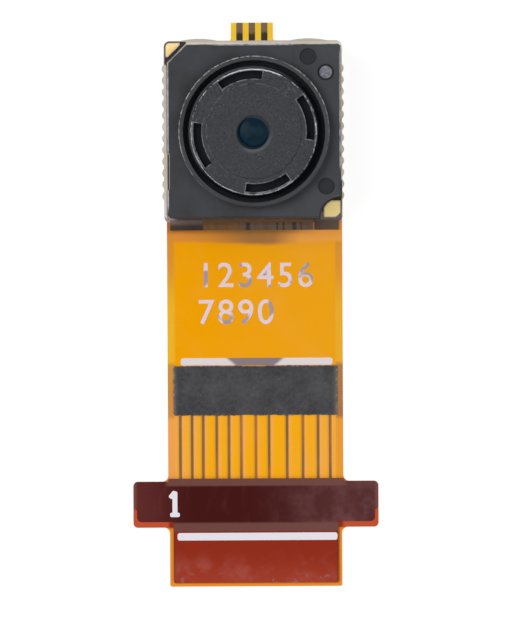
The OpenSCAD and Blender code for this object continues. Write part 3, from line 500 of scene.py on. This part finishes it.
def maskPaint():
    look = maskLook
    paint, tree, shader = newPaint("solderMask", look["roughness"], look["specular"])
    where, x, y = spots(tree)[:3]
    colour = shades(tree, cloud(tree, where, 0.6, 4.0, 0.6), (0.3, look["dark"]), (0.7, look["light"]))
    right = times(tree, rise(tree, x, *look["rightX"]), rise(tree, y, faceFoot, faceFoot - 0.1), 0.8)
    colour = mix(tree, right, colour, look["right"])
    # greyer round the lower pad, but for its upper left border
    padLeft = edge("corner_pads", 1, 0) - look["padWide"]
    padTop = edge("corner_pads", 0, 1) + look["padWide"]
    slope = padLeft - padTop
    corner = times(tree, rise(tree, x, padLeft - 0.5, padLeft - 0.3),
                   rise(tree, y, padTop + 0.3, padTop + 0.1), rise(tree, y, faceFoot - 0.15, faceFoot), 0.8)
    border = times(tree, rise(tree, x, padLeft - 0.16, padLeft - 0.1),
                   rise(tree, y, faceFoot + 0.28, faceFoot + 0.34),
                   rise(tree, minus(tree, x, y), slope + 1.0, slope + 0.9))
    colour = mix(tree, corner, colour, look["corner"])
    colour = mix(tree, border, colour, look["border"])
    # glue smeared over it below the body
    left, right = look["glueLeft"], look["glueRight"]
    below = rise(tree, y, faceFoot, faceFoot - 0.05)
    clear = times(tree, rise(tree, x, left, left + 0.05), rise(tree, x, right, right - 0.05), below)
    colour = mix(tree, clear, colour, look["glue"])
    smear = times(tree, rise(tree, x, left + 0.1, left - 0.1),
                  rise(tree, y, faceFoot - 0.42, faceFoot - 0.15), below, 0.8)
    colour = mix(tree, smear, colour, look["smear"])
    finish(tree, shader, colour, cloud(tree, where, 0.12), look["relief"])
    return paint


# gold over copper, paler at the lower pad, where painted light makes up for the body's shadow
goldLook = {
    "roughness": 0.45, "specular": 0.3, "metallic": 0.35, "relief": 0.004,
    "dark": tint(230, 192, 108), "light": tint(246, 218, 148),
    "lower": tint(255, 230, 152), "lowerY": (0, -2),
}


def goldPaint():
    look = goldLook
    paint, tree, shader = newPaint("gold", look["roughness"], look["specular"], look["metallic"])
    where, x, y = spots(tree)[:3]
    colour = shades(tree, cloud(tree, where, 0.4, 5.0), (0.3, look["dark"]), (0.7, look["light"]))
    # painted light: the lower pad paler where the body shades it
    colour = mix(tree, rise(tree, y, *look["lowerY"]), colour, look["lower"])
    finish(tree, shader, colour, cloud(tree, where, 0.08, 3.0, 0.7), look["relief"])
    return paint


# amber cover film over copper: brighter bands at the tail's sides, gaps between the wide tracks with painted
# shade and highlights beside them, and a brown bend next to the board painted as the body's shade and
# reflection
filmLook = {
    "roughness": 0.4, "specular": 0.01, "relief": 0.004,
    "pour": tint(235, 157, 2), "pourFar": tint(233, 158, 22), "pourX": (-3.5, 4.0),
    "side": tint(232, 176, 40), "sideFar": tint(230, 168, 42),
    "sideTop": tint(214, 142, 48), "sideTopY": (-9.0, -6.0),
    "lowSide": tint(234, 158, 80), "lowSideFar": tint(226, 152, 48),
    "beside": tint(196, 132, 60), "besideFar": tint(150, 106, 76),
    "track": tint(241, 168, 18), "pale": tint(236, 166, 96),
    "gapWarm": tint(154, 98, 58), "gapCold": tint(98, 80, 70), "gapHalf": 0.06, "gapShift": 0.015,
    "bend": (tint(214, 138, 54), tint(168, 116, 64), tint(238, 162, 72)),
    "bendX": (-4.3, 4.3), "bendShadow": tint(120, 78, 42), "bendEnd": -5.38, "bendSag": 0.12, "bendWave": 0.12,
    "tab": tint(255, 208, 60), "foot": tint(228, 142, 44),
}


# tracks below the tape: each with a dark gap, painted shade left of the gap and a painted highlight on its
# pale left edge
def trackColours(tree, x, across):
    look = filmLook
    edgeHighlight = gapsAndShade = None
    half = look["gapHalf"]
    for middle in trackGaps:
        offset = minus(tree, x, middle - look["gapShift"])
        line = rise(tree, maths(tree, "ABSOLUTE", offset), half + 0.05, half - 0.03)
        # painted shade on the track just left of the gap
        soft = times(tree, rise(tree, offset, -half - 0.16, -half), rise(tree, offset, half, 0), 0.3)
        line = most(tree, line, soft)
        # painted highlight on the track's left edge, right of the gap
        pale = times(tree, rise(tree, offset, half, half + 0.05),
                     rise(tree, offset, half + 0.24, half + 0.06))
        gapsAndShade = line if gapsAndShade is None else plus(tree, gapsAndShade, line)
        edgeHighlight = pale if edgeHighlight is None else plus(tree, edgeHighlight, pale)
    patch = cloud(tree, place(tree, (1, 0.35, 0)), 0.9, 3.0)
    edgeHighlight = times(tree, edgeHighlight, rise(tree, patch, 0.1, 0.8))
    sides = times(tree, rise(tree, across, 2.2, 4.0), 0.35)
    tracks = mix(tree, most(tree, edgeHighlight, sides), look["track"], look["pale"])
    column = cloud(tree, place(tree, (1.1, 0.06, 0)), 0.7, 2.0)
    gapColour = mix(tree, rise(tree, column, 0.42, 0.55), look["gapWarm"], look["gapCold"])
    return mix(tree, times(tree, gapsAndShade, 0.9), tracks, gapColour)


# bands beside the copper, more orange towards the board and brown beside the tape
def bandColours(tree, x, y, below):
    look = filmLook
    far = rise(tree, x, -1, 1)
    side = mix(tree, far, look["side"], look["sideFar"])
    band = mix(tree, rise(tree, y, *look["sideTopY"]), side, look["sideTop"])
    band = mix(tree, below, band, mix(tree, far, look["lowSide"], look["lowSideFar"]))
    beside = rise(tree, apart(tree, y, tapeMiddle), 1.5, 1.2)
    return mix(tree, times(tree, beside, 0.85), band, mix(tree, far, look["beside"], look["besideFar"]))


def filmPaint():
    look = filmLook
    paint, tree, shader = newPaint("coverFilm", look["roughness"], look["specular"])
    where, x, y = spots(tree)[:3]
    across = maths(tree, "ABSOLUTE", x)
    colour = mix(tree, rise(tree, x, *look["pourX"]), look["pour"], look["pourFar"])
    below = rise(tree, y, tapeMiddle + 0.05, tapeMiddle - 0.05)
    colour = mix(tree, below, colour, trackColours(tree, x, across))
    beyond = rise(tree, across, pourSide - 0.1, pourSide + 0.06)
    colour = mix(tree, beyond, colour, bandColours(tree, x, y, below))
    # brown bend next to the board: painted shade and reflection of the body
    left, middle, right = look["bend"]
    shadeBrown = shades(tree, rise(tree, x, *look["bendX"]), (0.15, left), (0.45, middle), (0.66, middle),
                   (0.86, right))
    sag = times(tree, rise(tree, x, -3.6, 0.8), rise(tree, x, 3.9, 1.2), look["bendSag"])
    wave = times(tree, cloud(tree, where, 1.5), look["bendWave"])
    depth = plus(tree, plus(tree, y, sag), wave)
    shadow = times(tree, rise(tree, y, lipBottom - 0.28, lipBottom), rise(tree, x, 3.6, 1.5), 0.55)
    shadeBrown = mix(tree, shadow, shadeBrown, look["bendShadow"])
    colour = mix(tree, rise(tree, depth, look["bendEnd"] - 0.04, look["bendEnd"] + 0.22), colour, shadeBrown)
    # tab above the board, and what shows round the plug end
    colour = mix(tree, rise(tree, y, boardTop - 0.6, boardTop - 0.5), colour, look["tab"])
    colour = mix(tree, rise(tree, y, filmTop - 0.24, filmTop - 0.3), colour, look["foot"])
    haze = times(tree, rise(tree, cloud(tree, where, 2.2, 3.0), 0.4, 0.8), 0.12)
    colour = mix(tree, haze, colour, look["pale"])
    finish(tree, shader, colour, cloud(tree, where, 0.4, 4.0, 0.6), look["relief"])
    return paint


# tracks of the tab, darker where they run under the board's edge
tabLook = {
    "roughness": 0.45, "specular": 0.15, "relief": 0.003,
    "under": tint(48, 40, 30), "outer": tint(122, 100, 80), "outerY": (4.98, 5.16), "ragged": 0.25,
}


def tabPaint():
    look = tabLook
    paint, tree, shader = newPaint("tabCopper", look["roughness"], look["specular"])
    where, x, y = spots(tree)[:3]
    ragged = plus(tree, y, times(tree, cloud(tree, where, 0.25), look["ragged"]))
    colour = mix(tree, rise(tree, ragged, *look["outerY"]), look["under"], look["outer"])
    finish(tree, shader, colour, cloud(tree, where, 0.06), look["relief"])
    return paint


# glue that fills the foot of the tail's bend: clear brown over the tracks that run into the
# board, which are given as place and half width
beadLook = {
    "roughness": 0.35, "specular": 0.2, "relief": 0.01,
    "clear": tint(112, 74, 38), "murky": tint(96, 76, 58), "murkyX": (-1.0, -0.4), "streak": tint(70, 54, 36),
    "dark": tint(44, 36, 32), "bars": ((-0.32, 0.16), (1.13, 0.06), (1.43, 0.06), (1.96, 0.15), (2.3, 0.05)),
    "glint": tint(190, 124, 56), "glintAt": 2.92,
}


def beadPaint():
    look = beadLook
    paint, tree, shader = newPaint("edgeGlue", look["roughness"], look["specular"])
    where, x = spots(tree)[:2]
    wavy = plus(tree, x, times(tree, minus(tree, cloud(tree, where, 0.3), 0.5), 0.12))
    colour = mix(tree, rise(tree, x, *look["murkyX"]), look["clear"], look["murky"])
    streak = cloud(tree, place(tree, (1, 0.08, 0.1)), 0.4, 4.0, 0.7)
    colour = mix(tree, times(tree, rise(tree, streak, 0.45, 0.65), 0.5), colour, look["streak"])
    for middle, half in look["bars"]:
        colour = mix(tree, rise(tree, apart(tree, wavy, middle), half, half * 0.4), colour, look["dark"])
    glint = rise(tree, apart(tree, x, look["glintAt"]), 0.06, 0.02)
    colour = mix(tree, times(tree, glint, 0.7), colour, look["glint"])
    finish(tree, shader, colour, streak, look["relief"])
    return paint


# stiffener plate: translucent red-brown, smudged towards its end, glowing at its bare rims
stiffenerLook = {
    "roughness": 0.4, "specular": 0.03, "relief": 0.004,
    "upper": tint(140, 42, 24), "lower": tint(154, 56, 38), "lowerY": (-20.6, -22.2),
    "smudge": tint(166, 92, 82), "smudgeY": (-20.4, -21.8),
    "grey": tint(128, 106, 98), "greyY": (-21.6, -21.9),
    "ears": tint(192, 82, 48), "earsX": (4.2, 4.4), "earsY": (-19.8, -19.6),
    "border": tint(110, 44, 34), "borderX": (3.9, 4.06), "borderY": (-19.6, -19.8),
}


def stiffenerPaint():
    look = stiffenerLook
    paint, tree, shader = newPaint("stiffener", look["roughness"], look["specular"])
    where, x, y = spots(tree)[:3]
    across = maths(tree, "ABSOLUTE", x)
    colour = mix(tree, rise(tree, y, *look["lowerY"]), look["upper"], look["lower"])
    smudge = times(tree, rise(tree, cloud(tree, where, 0.9, 5.0, 0.6), 0.42, 0.72),
                   rise(tree, y, *look["smudgeY"]), 0.5)
    colour = mix(tree, smudge, colour, look["smudge"])
    grey = times(tree, rise(tree, cloud(tree, where, 0.45, 2.0), 0.6, 0.68),
                 rise(tree, y, *look["greyY"]), 0.5)
    colour = mix(tree, grey, colour, look["grey"])
    ears = times(tree, rise(tree, across, *look["earsX"]), rise(tree, y, *look["earsY"]), 0.9)
    colour = mix(tree, ears, colour, look["ears"])
    border = times(tree, rise(tree, across, *look["borderX"]), rise(tree, y, *look["borderY"]), 0.5)
    colour = mix(tree, border, colour, look["border"])
    finish(tree, shader, colour, cloud(tree, where, 0.3, 4.0, 0.6), look["relief"])
    return paint


# wine-red film over the ears, hazy to the right, greyed along its upper and lower edge
earLook = {
    "roughness": 0.4, "specular": 0.03, "relief": 0.004,
    "left": tint(90, 38, 36), "middle": tint(63, 17, 16), "middleX": (-6.0, -3.0),
    "haze": tint(112, 74, 74), "hazeX": (-0.5, 4.5), "streak": tint(112, 60, 56),
    "band": tint(112, 72, 66), "bandX": (4.55, 4.3), "rim": tint(120, 74, 66), "rimX": (5.8, 5.98),
}


def earPaint():
    look = earLook
    paint, tree, shader = newPaint("earFilm", look["roughness"], look["specular"])
    where, x, y = spots(tree)[:3]
    across = maths(tree, "ABSOLUTE", x)
    colour = mix(tree, rise(tree, x, *look["middleX"]), look["left"], look["middle"])
    haze = rise(tree, cloud(tree, where, 1.3, 5.0, 0.6), 0.4, 0.7)
    haze = times(tree, plus(tree, times(tree, haze, 0.5), 0.28), rise(tree, x, *look["hazeX"]))
    colour = mix(tree, haze, colour, look["haze"])
    streaks = rise(tree, cloud(tree, place(tree, (1, 0.25, 1)), 0.5, 4.0, 0.6), 0.5, 0.75)
    colour = mix(tree, times(tree, streaks, 0.2), colour, look["streak"])
    top = rise(tree, y, filmTop - 0.42, filmTop - 0.3)
    foot = rise(tree, y, filmFoot + 0.5, filmFoot + 0.36)
    band = times(tree, most(tree, top, foot), rise(tree, across, *look["bandX"]), 0.85)
    colour = mix(tree, band, colour, look["band"])
    rim = times(tree, rise(tree, across, *look["rimX"]), rise(tree, y, filmFoot + 0.9, filmFoot + 1.3), 0.7)
    colour = mix(tree, rim, colour, look["rim"])
    finish(tree, shader, colour, cloud(tree, where, 0.3, 4.0, 0.6), look["relief"])
    return paint


# dark adhesive tape with a fine weave and stray specks
tapeLook = {
    "roughness": 0.7, "specular": 0.1, "relief": 0.008, "weave": 0.2, "patches": 1.2,
    "dark": tint(50, 49, 52), "light": tint(77, 76, 79), "speck": tint(140, 140, 138),
    "ends": tint(126, 120, 114), "worn": tint(176, 172, 168),
}


def tapePaint():
    look = tapeLook
    paint, tree, shader = newPaint("tape", look["roughness"], look["specular"])
    where, x, y = spots(tree)[:3]
    weave = cloud(tree, where, look["weave"], 5.0, 0.7)
    patches = cloud(tree, where, look["patches"], 3.0)
    tone = plus(tree, times(tree, weave, 0.45), times(tree, patches, 0.55))
    colour = shades(tree, tone, (0.36, look["dark"]), (0.64, look["light"]))
    speck = rise(tree, cloud(tree, where, 0.11, 1.0), 0.74, 0.8)
    colour = mix(tree, times(tree, speck, 0.5), colour, look["speck"])
    # paler towards its ends, rubbed along all four edges
    middle = (edge("tape_patch", 0, 0) + edge("tape_patch", 1, 0)) / 2
    halfWide = edge("tape_patch", 1, 0) - middle
    halfHigh = edge("tape_patch", 1, 1) - tapeMiddle
    sideways, upwards = apart(tree, x, middle), apart(tree, y, tapeMiddle)
    ends = rise(tree, sideways, halfWide - 0.34, halfWide)
    colour = mix(tree, times(tree, ends, 0.4), colour, look["ends"])
    rim = most(tree, rise(tree, sideways, halfWide - 0.16, halfWide - 0.03),
               rise(tree, upwards, halfHigh - 0.09, halfHigh - 0.03))
    worn = times(tree, rim, rise(tree, cloud(tree, where, 0.16, 3.0, 0.7), 0.45, 0.62), 0.4)
    colour = mix(tree, worn, colour, look["worn"])
    finish(tree, shader, colour, weave, look["relief"])
    return paint


# white ink, rubbed to grey-purple in places
inkLook = {
    "roughness": 0.5, "specular": 0.15, "relief": 0.002,
    "figures": tint(220, 200, 206), "plug": tint(222, 219, 226), "line": tint(216, 208, 208),
    "worn": tint(128, 116, 124), "plugY": (-15.0, -16.0),
    "lineTop": -10.7, "lineFoot": -13.0, "lineMiddle": -11.3, "lineSlant": 1.2,
}


def inkPaint():
    look = inkLook
    paint, tree, shader = newPaint("ink", look["roughness"], look["specular"])
    where, x, y = spots(tree)[:3]
    top, foot = look["lineTop"], look["lineFoot"]
    colour = mix(tree, rise(tree, y, *look["plugY"]), look["figures"], look["plug"])
    upperLine = times(tree, rise(tree, y, top, top - 0.2), rise(tree, y, foot, foot + 0.1))
    colour = mix(tree, upperLine, colour, look["line"])
    # the figures are worn in patches, the upper line in a slanted middle part
    worn = times(tree, rise(tree, cloud(tree, where, 1.1, 2.0), 0.52, 0.6),
                 rise(tree, y, top - 0.2, top), 0.75)
    slant = times(tree, minus(tree, y, look["lineMiddle"]), look["lineSlant"])
    slanted = minus(tree, maths(tree, "ABSOLUTE", x), slant)
    middle = times(tree, rise(tree, slanted, 1.3, 1.0), upperLine)
    colour = mix(tree, most(tree, worn, middle), colour, look["worn"])
    finish(tree, shader, colour, cloud(tree, where, 0.1), look["relief"])
    return paint


# glue bead round the body's foot: pale at the top and sides, clear brown towards the tail
glueLook = {
    "roughness": 0.4, "specular": 0.3, "relief": 0.01,
    "left": tint(156, 146, 138), "right": tint(236, 228, 222),
    "top": tint(242, 236, 236), "topY": (3.5, 4.2), "topMiddle": tint(150, 146, 150), "topMiddleX": 0.3,
    "foot": tint(72, 48, 38), "clear": tint(104, 72, 50), "clearLeft": (-2.7, -2.4), "clearRight": (2.9, 2.7),
    "blob": tint(156, 146, 144), "blobX": (-3.7, -4.05), "mottle": tint(120, 108, 98),
    "upperPad": tint(56, 48, 44), "upperSlope": (7.5, 7.7),
    "lowerPad": tint(56, 50, 48), "lowerSlope": (-6.55, -6.7),
}


def gluePaint():
    look = glueLook
    paint, tree, shader = newPaint("holderGlue", look["roughness"], look["specular"])
    where, x, y = spots(tree)[:3]
    sides = mix(tree, rise(tree, x, -1, 1), look["left"], look["right"])
    top = rise(tree, y, *look["topY"])
    colour = mix(tree, top, sides, look["top"])
    middle = rise(tree, apart(tree, x, look["topMiddleX"]), 1.6, 0.6)
    colour = mix(tree, times(tree, middle, top, 0.4), colour, look["topMiddle"])
    foot = rise(tree, y, faceFoot + 0.4, faceFoot)
    colour = mix(tree, foot, colour, look["foot"])
    clear = times(tree, rise(tree, y, faceFoot, faceFoot - 0.1), rise(tree, x, *look["clearLeft"]),
                  rise(tree, x, *look["clearRight"]))
    colour = mix(tree, clear, colour, look["clear"])
    colour = mix(tree, times(tree, foot, rise(tree, x, *look["blobX"]), 0.9), colour, look["blob"])
    mottle = cloud(tree, where, 0.3, 4.0, 0.6)
    colour = mix(tree, times(tree, rise(tree, mottle, 0.45, 0.7), 0.3), colour, look["mottle"])
    # dark round the two corner pads
    slope = minus(tree, y, x)
    colour = mix(tree, rise(tree, slope, *look["upperSlope"]), colour, look["upperPad"])
    colour = mix(tree, rise(tree, slope, *look["lowerSlope"]), colour, look["lowerPad"])
    finish(tree, shader, colour, mottle, look["relief"])
    return paint


# plain two-tone finishes, mostly of inner pieces; size is that of their clouds
plainLooks = {
    "copper": {"dark": tint(196, 120, 60), "light": tint(222, 150, 84), "size": 0.6, "roughness": 0.4,
               "specular": 0.5, "metallic": 0.8},
    "silicon": {"dark": tint(52, 50, 60), "light": tint(70, 66, 82), "size": 0.4, "roughness": 0.15},
    "ceramic": {"dark": tint(150, 128, 104), "light": tint(178, 156, 130), "size": 0.2, "roughness": 0.6},
    "tin": {"dark": tint(186, 188, 190), "light": tint(214, 216, 218), "size": 0.15, "roughness": 0.4,
            "specular": 0.5, "metallic": 0.7, "relief": 0.004},
    "paleGlue": {"dark": tint(206, 200, 184), "light": tint(226, 222, 208), "size": 0.3, "roughness": 0.4},
    "filterGlass": {"dark": tint(96, 150, 146), "light": tint(128, 178, 172), "size": 0.6, "roughness": 0.1},
    # clear glue in the barrel's groove, near-black: painted shade
    "shadedGlue": {"dark": tint(18, 22, 27), "light": tint(30, 34, 39), "size": 0.3, "roughness": 0.4,
                 "specular": 0.06},
    "blackFilm": {"dark": tint(14, 15, 16), "light": tint(26, 27, 29), "size": 0.3, "roughness": 0.6},
}


def plainPaint(name):
    look = {"specular": 0.4, "metallic": 0.0, "relief": 0.003, **plainLooks[name]}
    paint, tree, shader = newPaint(name, look["roughness"], look["specular"], look["metallic"])
    where = place(tree)
    tone = cloud(tree, where, look["size"], 4.0, 0.6)
    colour = shades(tree, tone, (0.3, look["dark"]), (0.7, look["light"]))
    finish(tree, shader, colour, cloud(tree, where, look["size"] / 5), look["relief"])
    return paint


finishes = {
    holderPaint(): ["lens_holder"],
    barrelPaint(): ["lens_barrel", "retainer_ring"],
    lensPaint(): ["first_lens", "second_lens", "third_lens", "fourth_lens"],
    laminatePaint(): ["front_board", "rear_board"],
    maskPaint(): ["solder_mask"],
    goldPaint(): ["corner_pads", "contact_fingers", "bond_pads", "bond_wires"],
    filmPaint(): ["front_coverlay", "base_film", "rear_coverlay"],
    plainPaint("copper"): ["ground_pour", "covered_traces"],
    tabPaint(): ["tab_traces"],
    beadPaint(): ["edge_glue"],
    stiffenerPaint(): ["zif_stiffener"],
    earPaint(): ["cover_film"],
    tapePaint(): ["tape_patch"],
    inkPaint(): ["ink_lines"],
    gluePaint(): ["holder_glue"],
    plainPaint("silicon"): ["image_sensor"],
    plainPaint("ceramic"): ["capacitors"],
    plainPaint("tin"): ["capacitor_ends"],
    plainPaint("paleGlue"): ["die_glue", "filter_glue"],
    plainPaint("filterGlass"): ["ir_filter"],
    plainPaint("shadedGlue"): ["thread_glue"],
    plainPaint("blackFilm"): ["stop_ring", "front_spacer", "rear_spacer"],
}
for paint, names in finishes.items():
    for name in names:
        nodes[name].data.materials.clear()
        nodes[name].data.materials.append(paint)
print("finishes ready:", len(finishes))


# height of a node's front surface over a point
def surfaceOf(node):
    mesh = nodes[node].data
    skin = BVHTree.FromPolygons([v.co / mm for v in mesh.vertices], [p.vertices for p in mesh.polygons])
    return lambda x, y: skin.ray_cast(Vector((x, y, 10)), Vector((0, 0, -1)))[0].z


# one raised digit, its middle at x, y
def addDigit(bm, digit, look, x, y):
    curve = bpy.data.curves.new("figure", "FONT")
    curve.body = digit
    curve.size = look["height"] / look["digitShare"]
    curve.align_x = "CENTER"
    curve.extrude = look["rise"] / 2
    curve.offset = look["stroke"]
    thing = addObject("figure", curve)
    bpy.context.view_layer.update()
    mesh = bpy.data.meshes.new_from_object(thing.evaluated_get(bpy.context.evaluated_depsgraph_get()))
    mesh.transform(Matrix.Translation((x, y - look["height"] / 2, look["rise"] / 2)))
    bm.from_mesh(mesh)
    bpy.data.objects.remove(thing)
    bpy.data.meshes.remove(mesh)


# lay flat print onto a node's front surface and make it a piece
def printOn(bm, node, name):
    surface = surfaceOf(node)
    for vert in bm.verts:
        vert.co.z += surface(vert.co.x, vert.co.y)
    bmesh.ops.scale(bm, verts=bm.verts, vec=(mm, mm, mm))
    bmesh.ops.remove_doubles(bm, verts=bm.verts, dist=0.0001 * mm)
    bmesh.ops.recalc_face_normals(bm, faces=bm.faces)
    dress(makePiece(bm, name, nodes["ink_lines"].data.materials[0]), "ink")


# printed figures on the tail: a plain count in two rows, each with the height of its middle
figures = {
    "rows": (("123456", -6.95), ("7890", -8.77)), "left": -2.42, "pitch": 0.985, "height": 1.25,
    "digitShare": 0.73, "rise": 0.012, "stroke": 0.012,
}


def makeFigures():
    bm = bmesh.new()
    for row, y in figures["rows"]:
        for index, digit in enumerate(row):
            addDigit(bm, digit, figures, figures["left"] + index * figures["pitch"], y)
    printOn(bm, "front_coverlay", "printed_figures")


# mark of the first contact on the ears' film: a plain one, drawn with three round-ended bars,
# each with its middle, width and height, turn and thickness
pinMark = {
    "middle": (-4.0, -18.29), "corner": 0.08,
    "bars": {
        "stem": ((0, 0), (0.25, 1.26), 0, 0.012),
        "foot": ((0, -0.53), (0.48, 0.22), 0, 0.015),
        "flag": ((-0.11, 0.46), (0.42, 0.23), 50, 0.018),
    },
}


def makePinMark():
    look = pinMark
    bm = bmesh.new()
    for (x, y), (wide, high), turn, thick in look["bars"].values():
        turned = Matrix.Rotation(math.radians(turn), 4, "Z") @ Matrix.Diagonal((wide, high, thick, 1))
        middle = (look["middle"][0] + x, look["middle"][1] + y, thick / 2)
        corners = bmesh.ops.create_cube(bm, size=1.0, matrix=Matrix.Translation(middle) @ turned)["verts"]
        upright = [e for e in {e for v in corners for e in v.link_edges}
                   if abs(e.verts[0].co.z - e.verts[1].co.z) > thick / 2]
        bmesh.ops.bevel(bm, geom=upright, offset=look["corner"], segments=3, profile=0.5, affect="EDGES",
                        material=-1)
    printOn(bm, "cover_film", "pin_mark")


makeFigures()
makePinMark()
print("figures printed")


# adhesive tape: rounded corners and hand-cut, slightly frayed edges
tapeShape = {"corner": 0.16, "fray": 0.028, "wave": 0.03, "across": 120, "along": 40}


def makeTape():
    look = tapeShape
    left, right = edge("tape_patch", 0, 0), edge("tape_patch", 1, 0)
    foot, top = edge("tape_patch", 0, 1), edge("tape_patch", 1, 1)
    low, high = edge("tape_patch", 0, 2), edge("tape_patch", 1, 2)
    halfWide, halfHigh = (right - left) / 2, (top - foot) / 2
    bm = bmesh.new()
    bmesh.ops.create_grid(bm, x_segments=look["across"], y_segments=look["along"], size=1.0)
    bmesh.ops.scale(bm, verts=bm.verts, vec=(halfWide, halfHigh, 1))
    for vert in [v for v in bm.verts if v.is_boundary]:
        # round the corner, then draw the edge in a little
        corner = Vector((max(abs(vert.co.x) - halfWide + look["corner"], 0),
                         max(abs(vert.co.y) - halfHigh + look["corner"], 0), 0))
        if corner.x and corner.y:
            short = corner * (look["corner"] / corner.length - 1)
            vert.co.x += math.copysign(1, vert.co.x) * short.x
            vert.co.y += math.copysign(1, vert.co.y) * short.y
        fine = look["fray"] * (noise.noise(vert.co * 7) + 0.5)
        broad = look["wave"] * (noise.noise(vert.co * 1.3) + 0.5)
        if halfWide - abs(vert.co.x) < look["corner"] / 2:
            vert.co.x -= math.copysign(max(fine + broad, 0), vert.co.x)
        if halfHigh - abs(vert.co.y) < look["corner"] / 2:
            vert.co.y -= math.copysign(max(fine + broad, 0), vert.co.y)
    raised = bmesh.ops.extrude_face_region(bm, geom=bm.faces[:])["geom"]
    raised = [g for g in raised if isinstance(g, bmesh.types.BMVert)]
    bmesh.ops.translate(bm, verts=raised, vec=(0, 0, high - low))
    bmesh.ops.translate(bm, verts=bm.verts, vec=((left + right) / 2, (foot + top) / 2, low))
    bmesh.ops.scale(bm, verts=bm.verts, vec=(mm, mm, mm))
    bmesh.ops.recalc_face_normals(bm, faces=bm.faces)
    dress(makePiece(bm, "adhesive_tape", nodes["tape_patch"].data.materials[0]), "tape", "tape_patch")


makeTape()
print("tape laid")
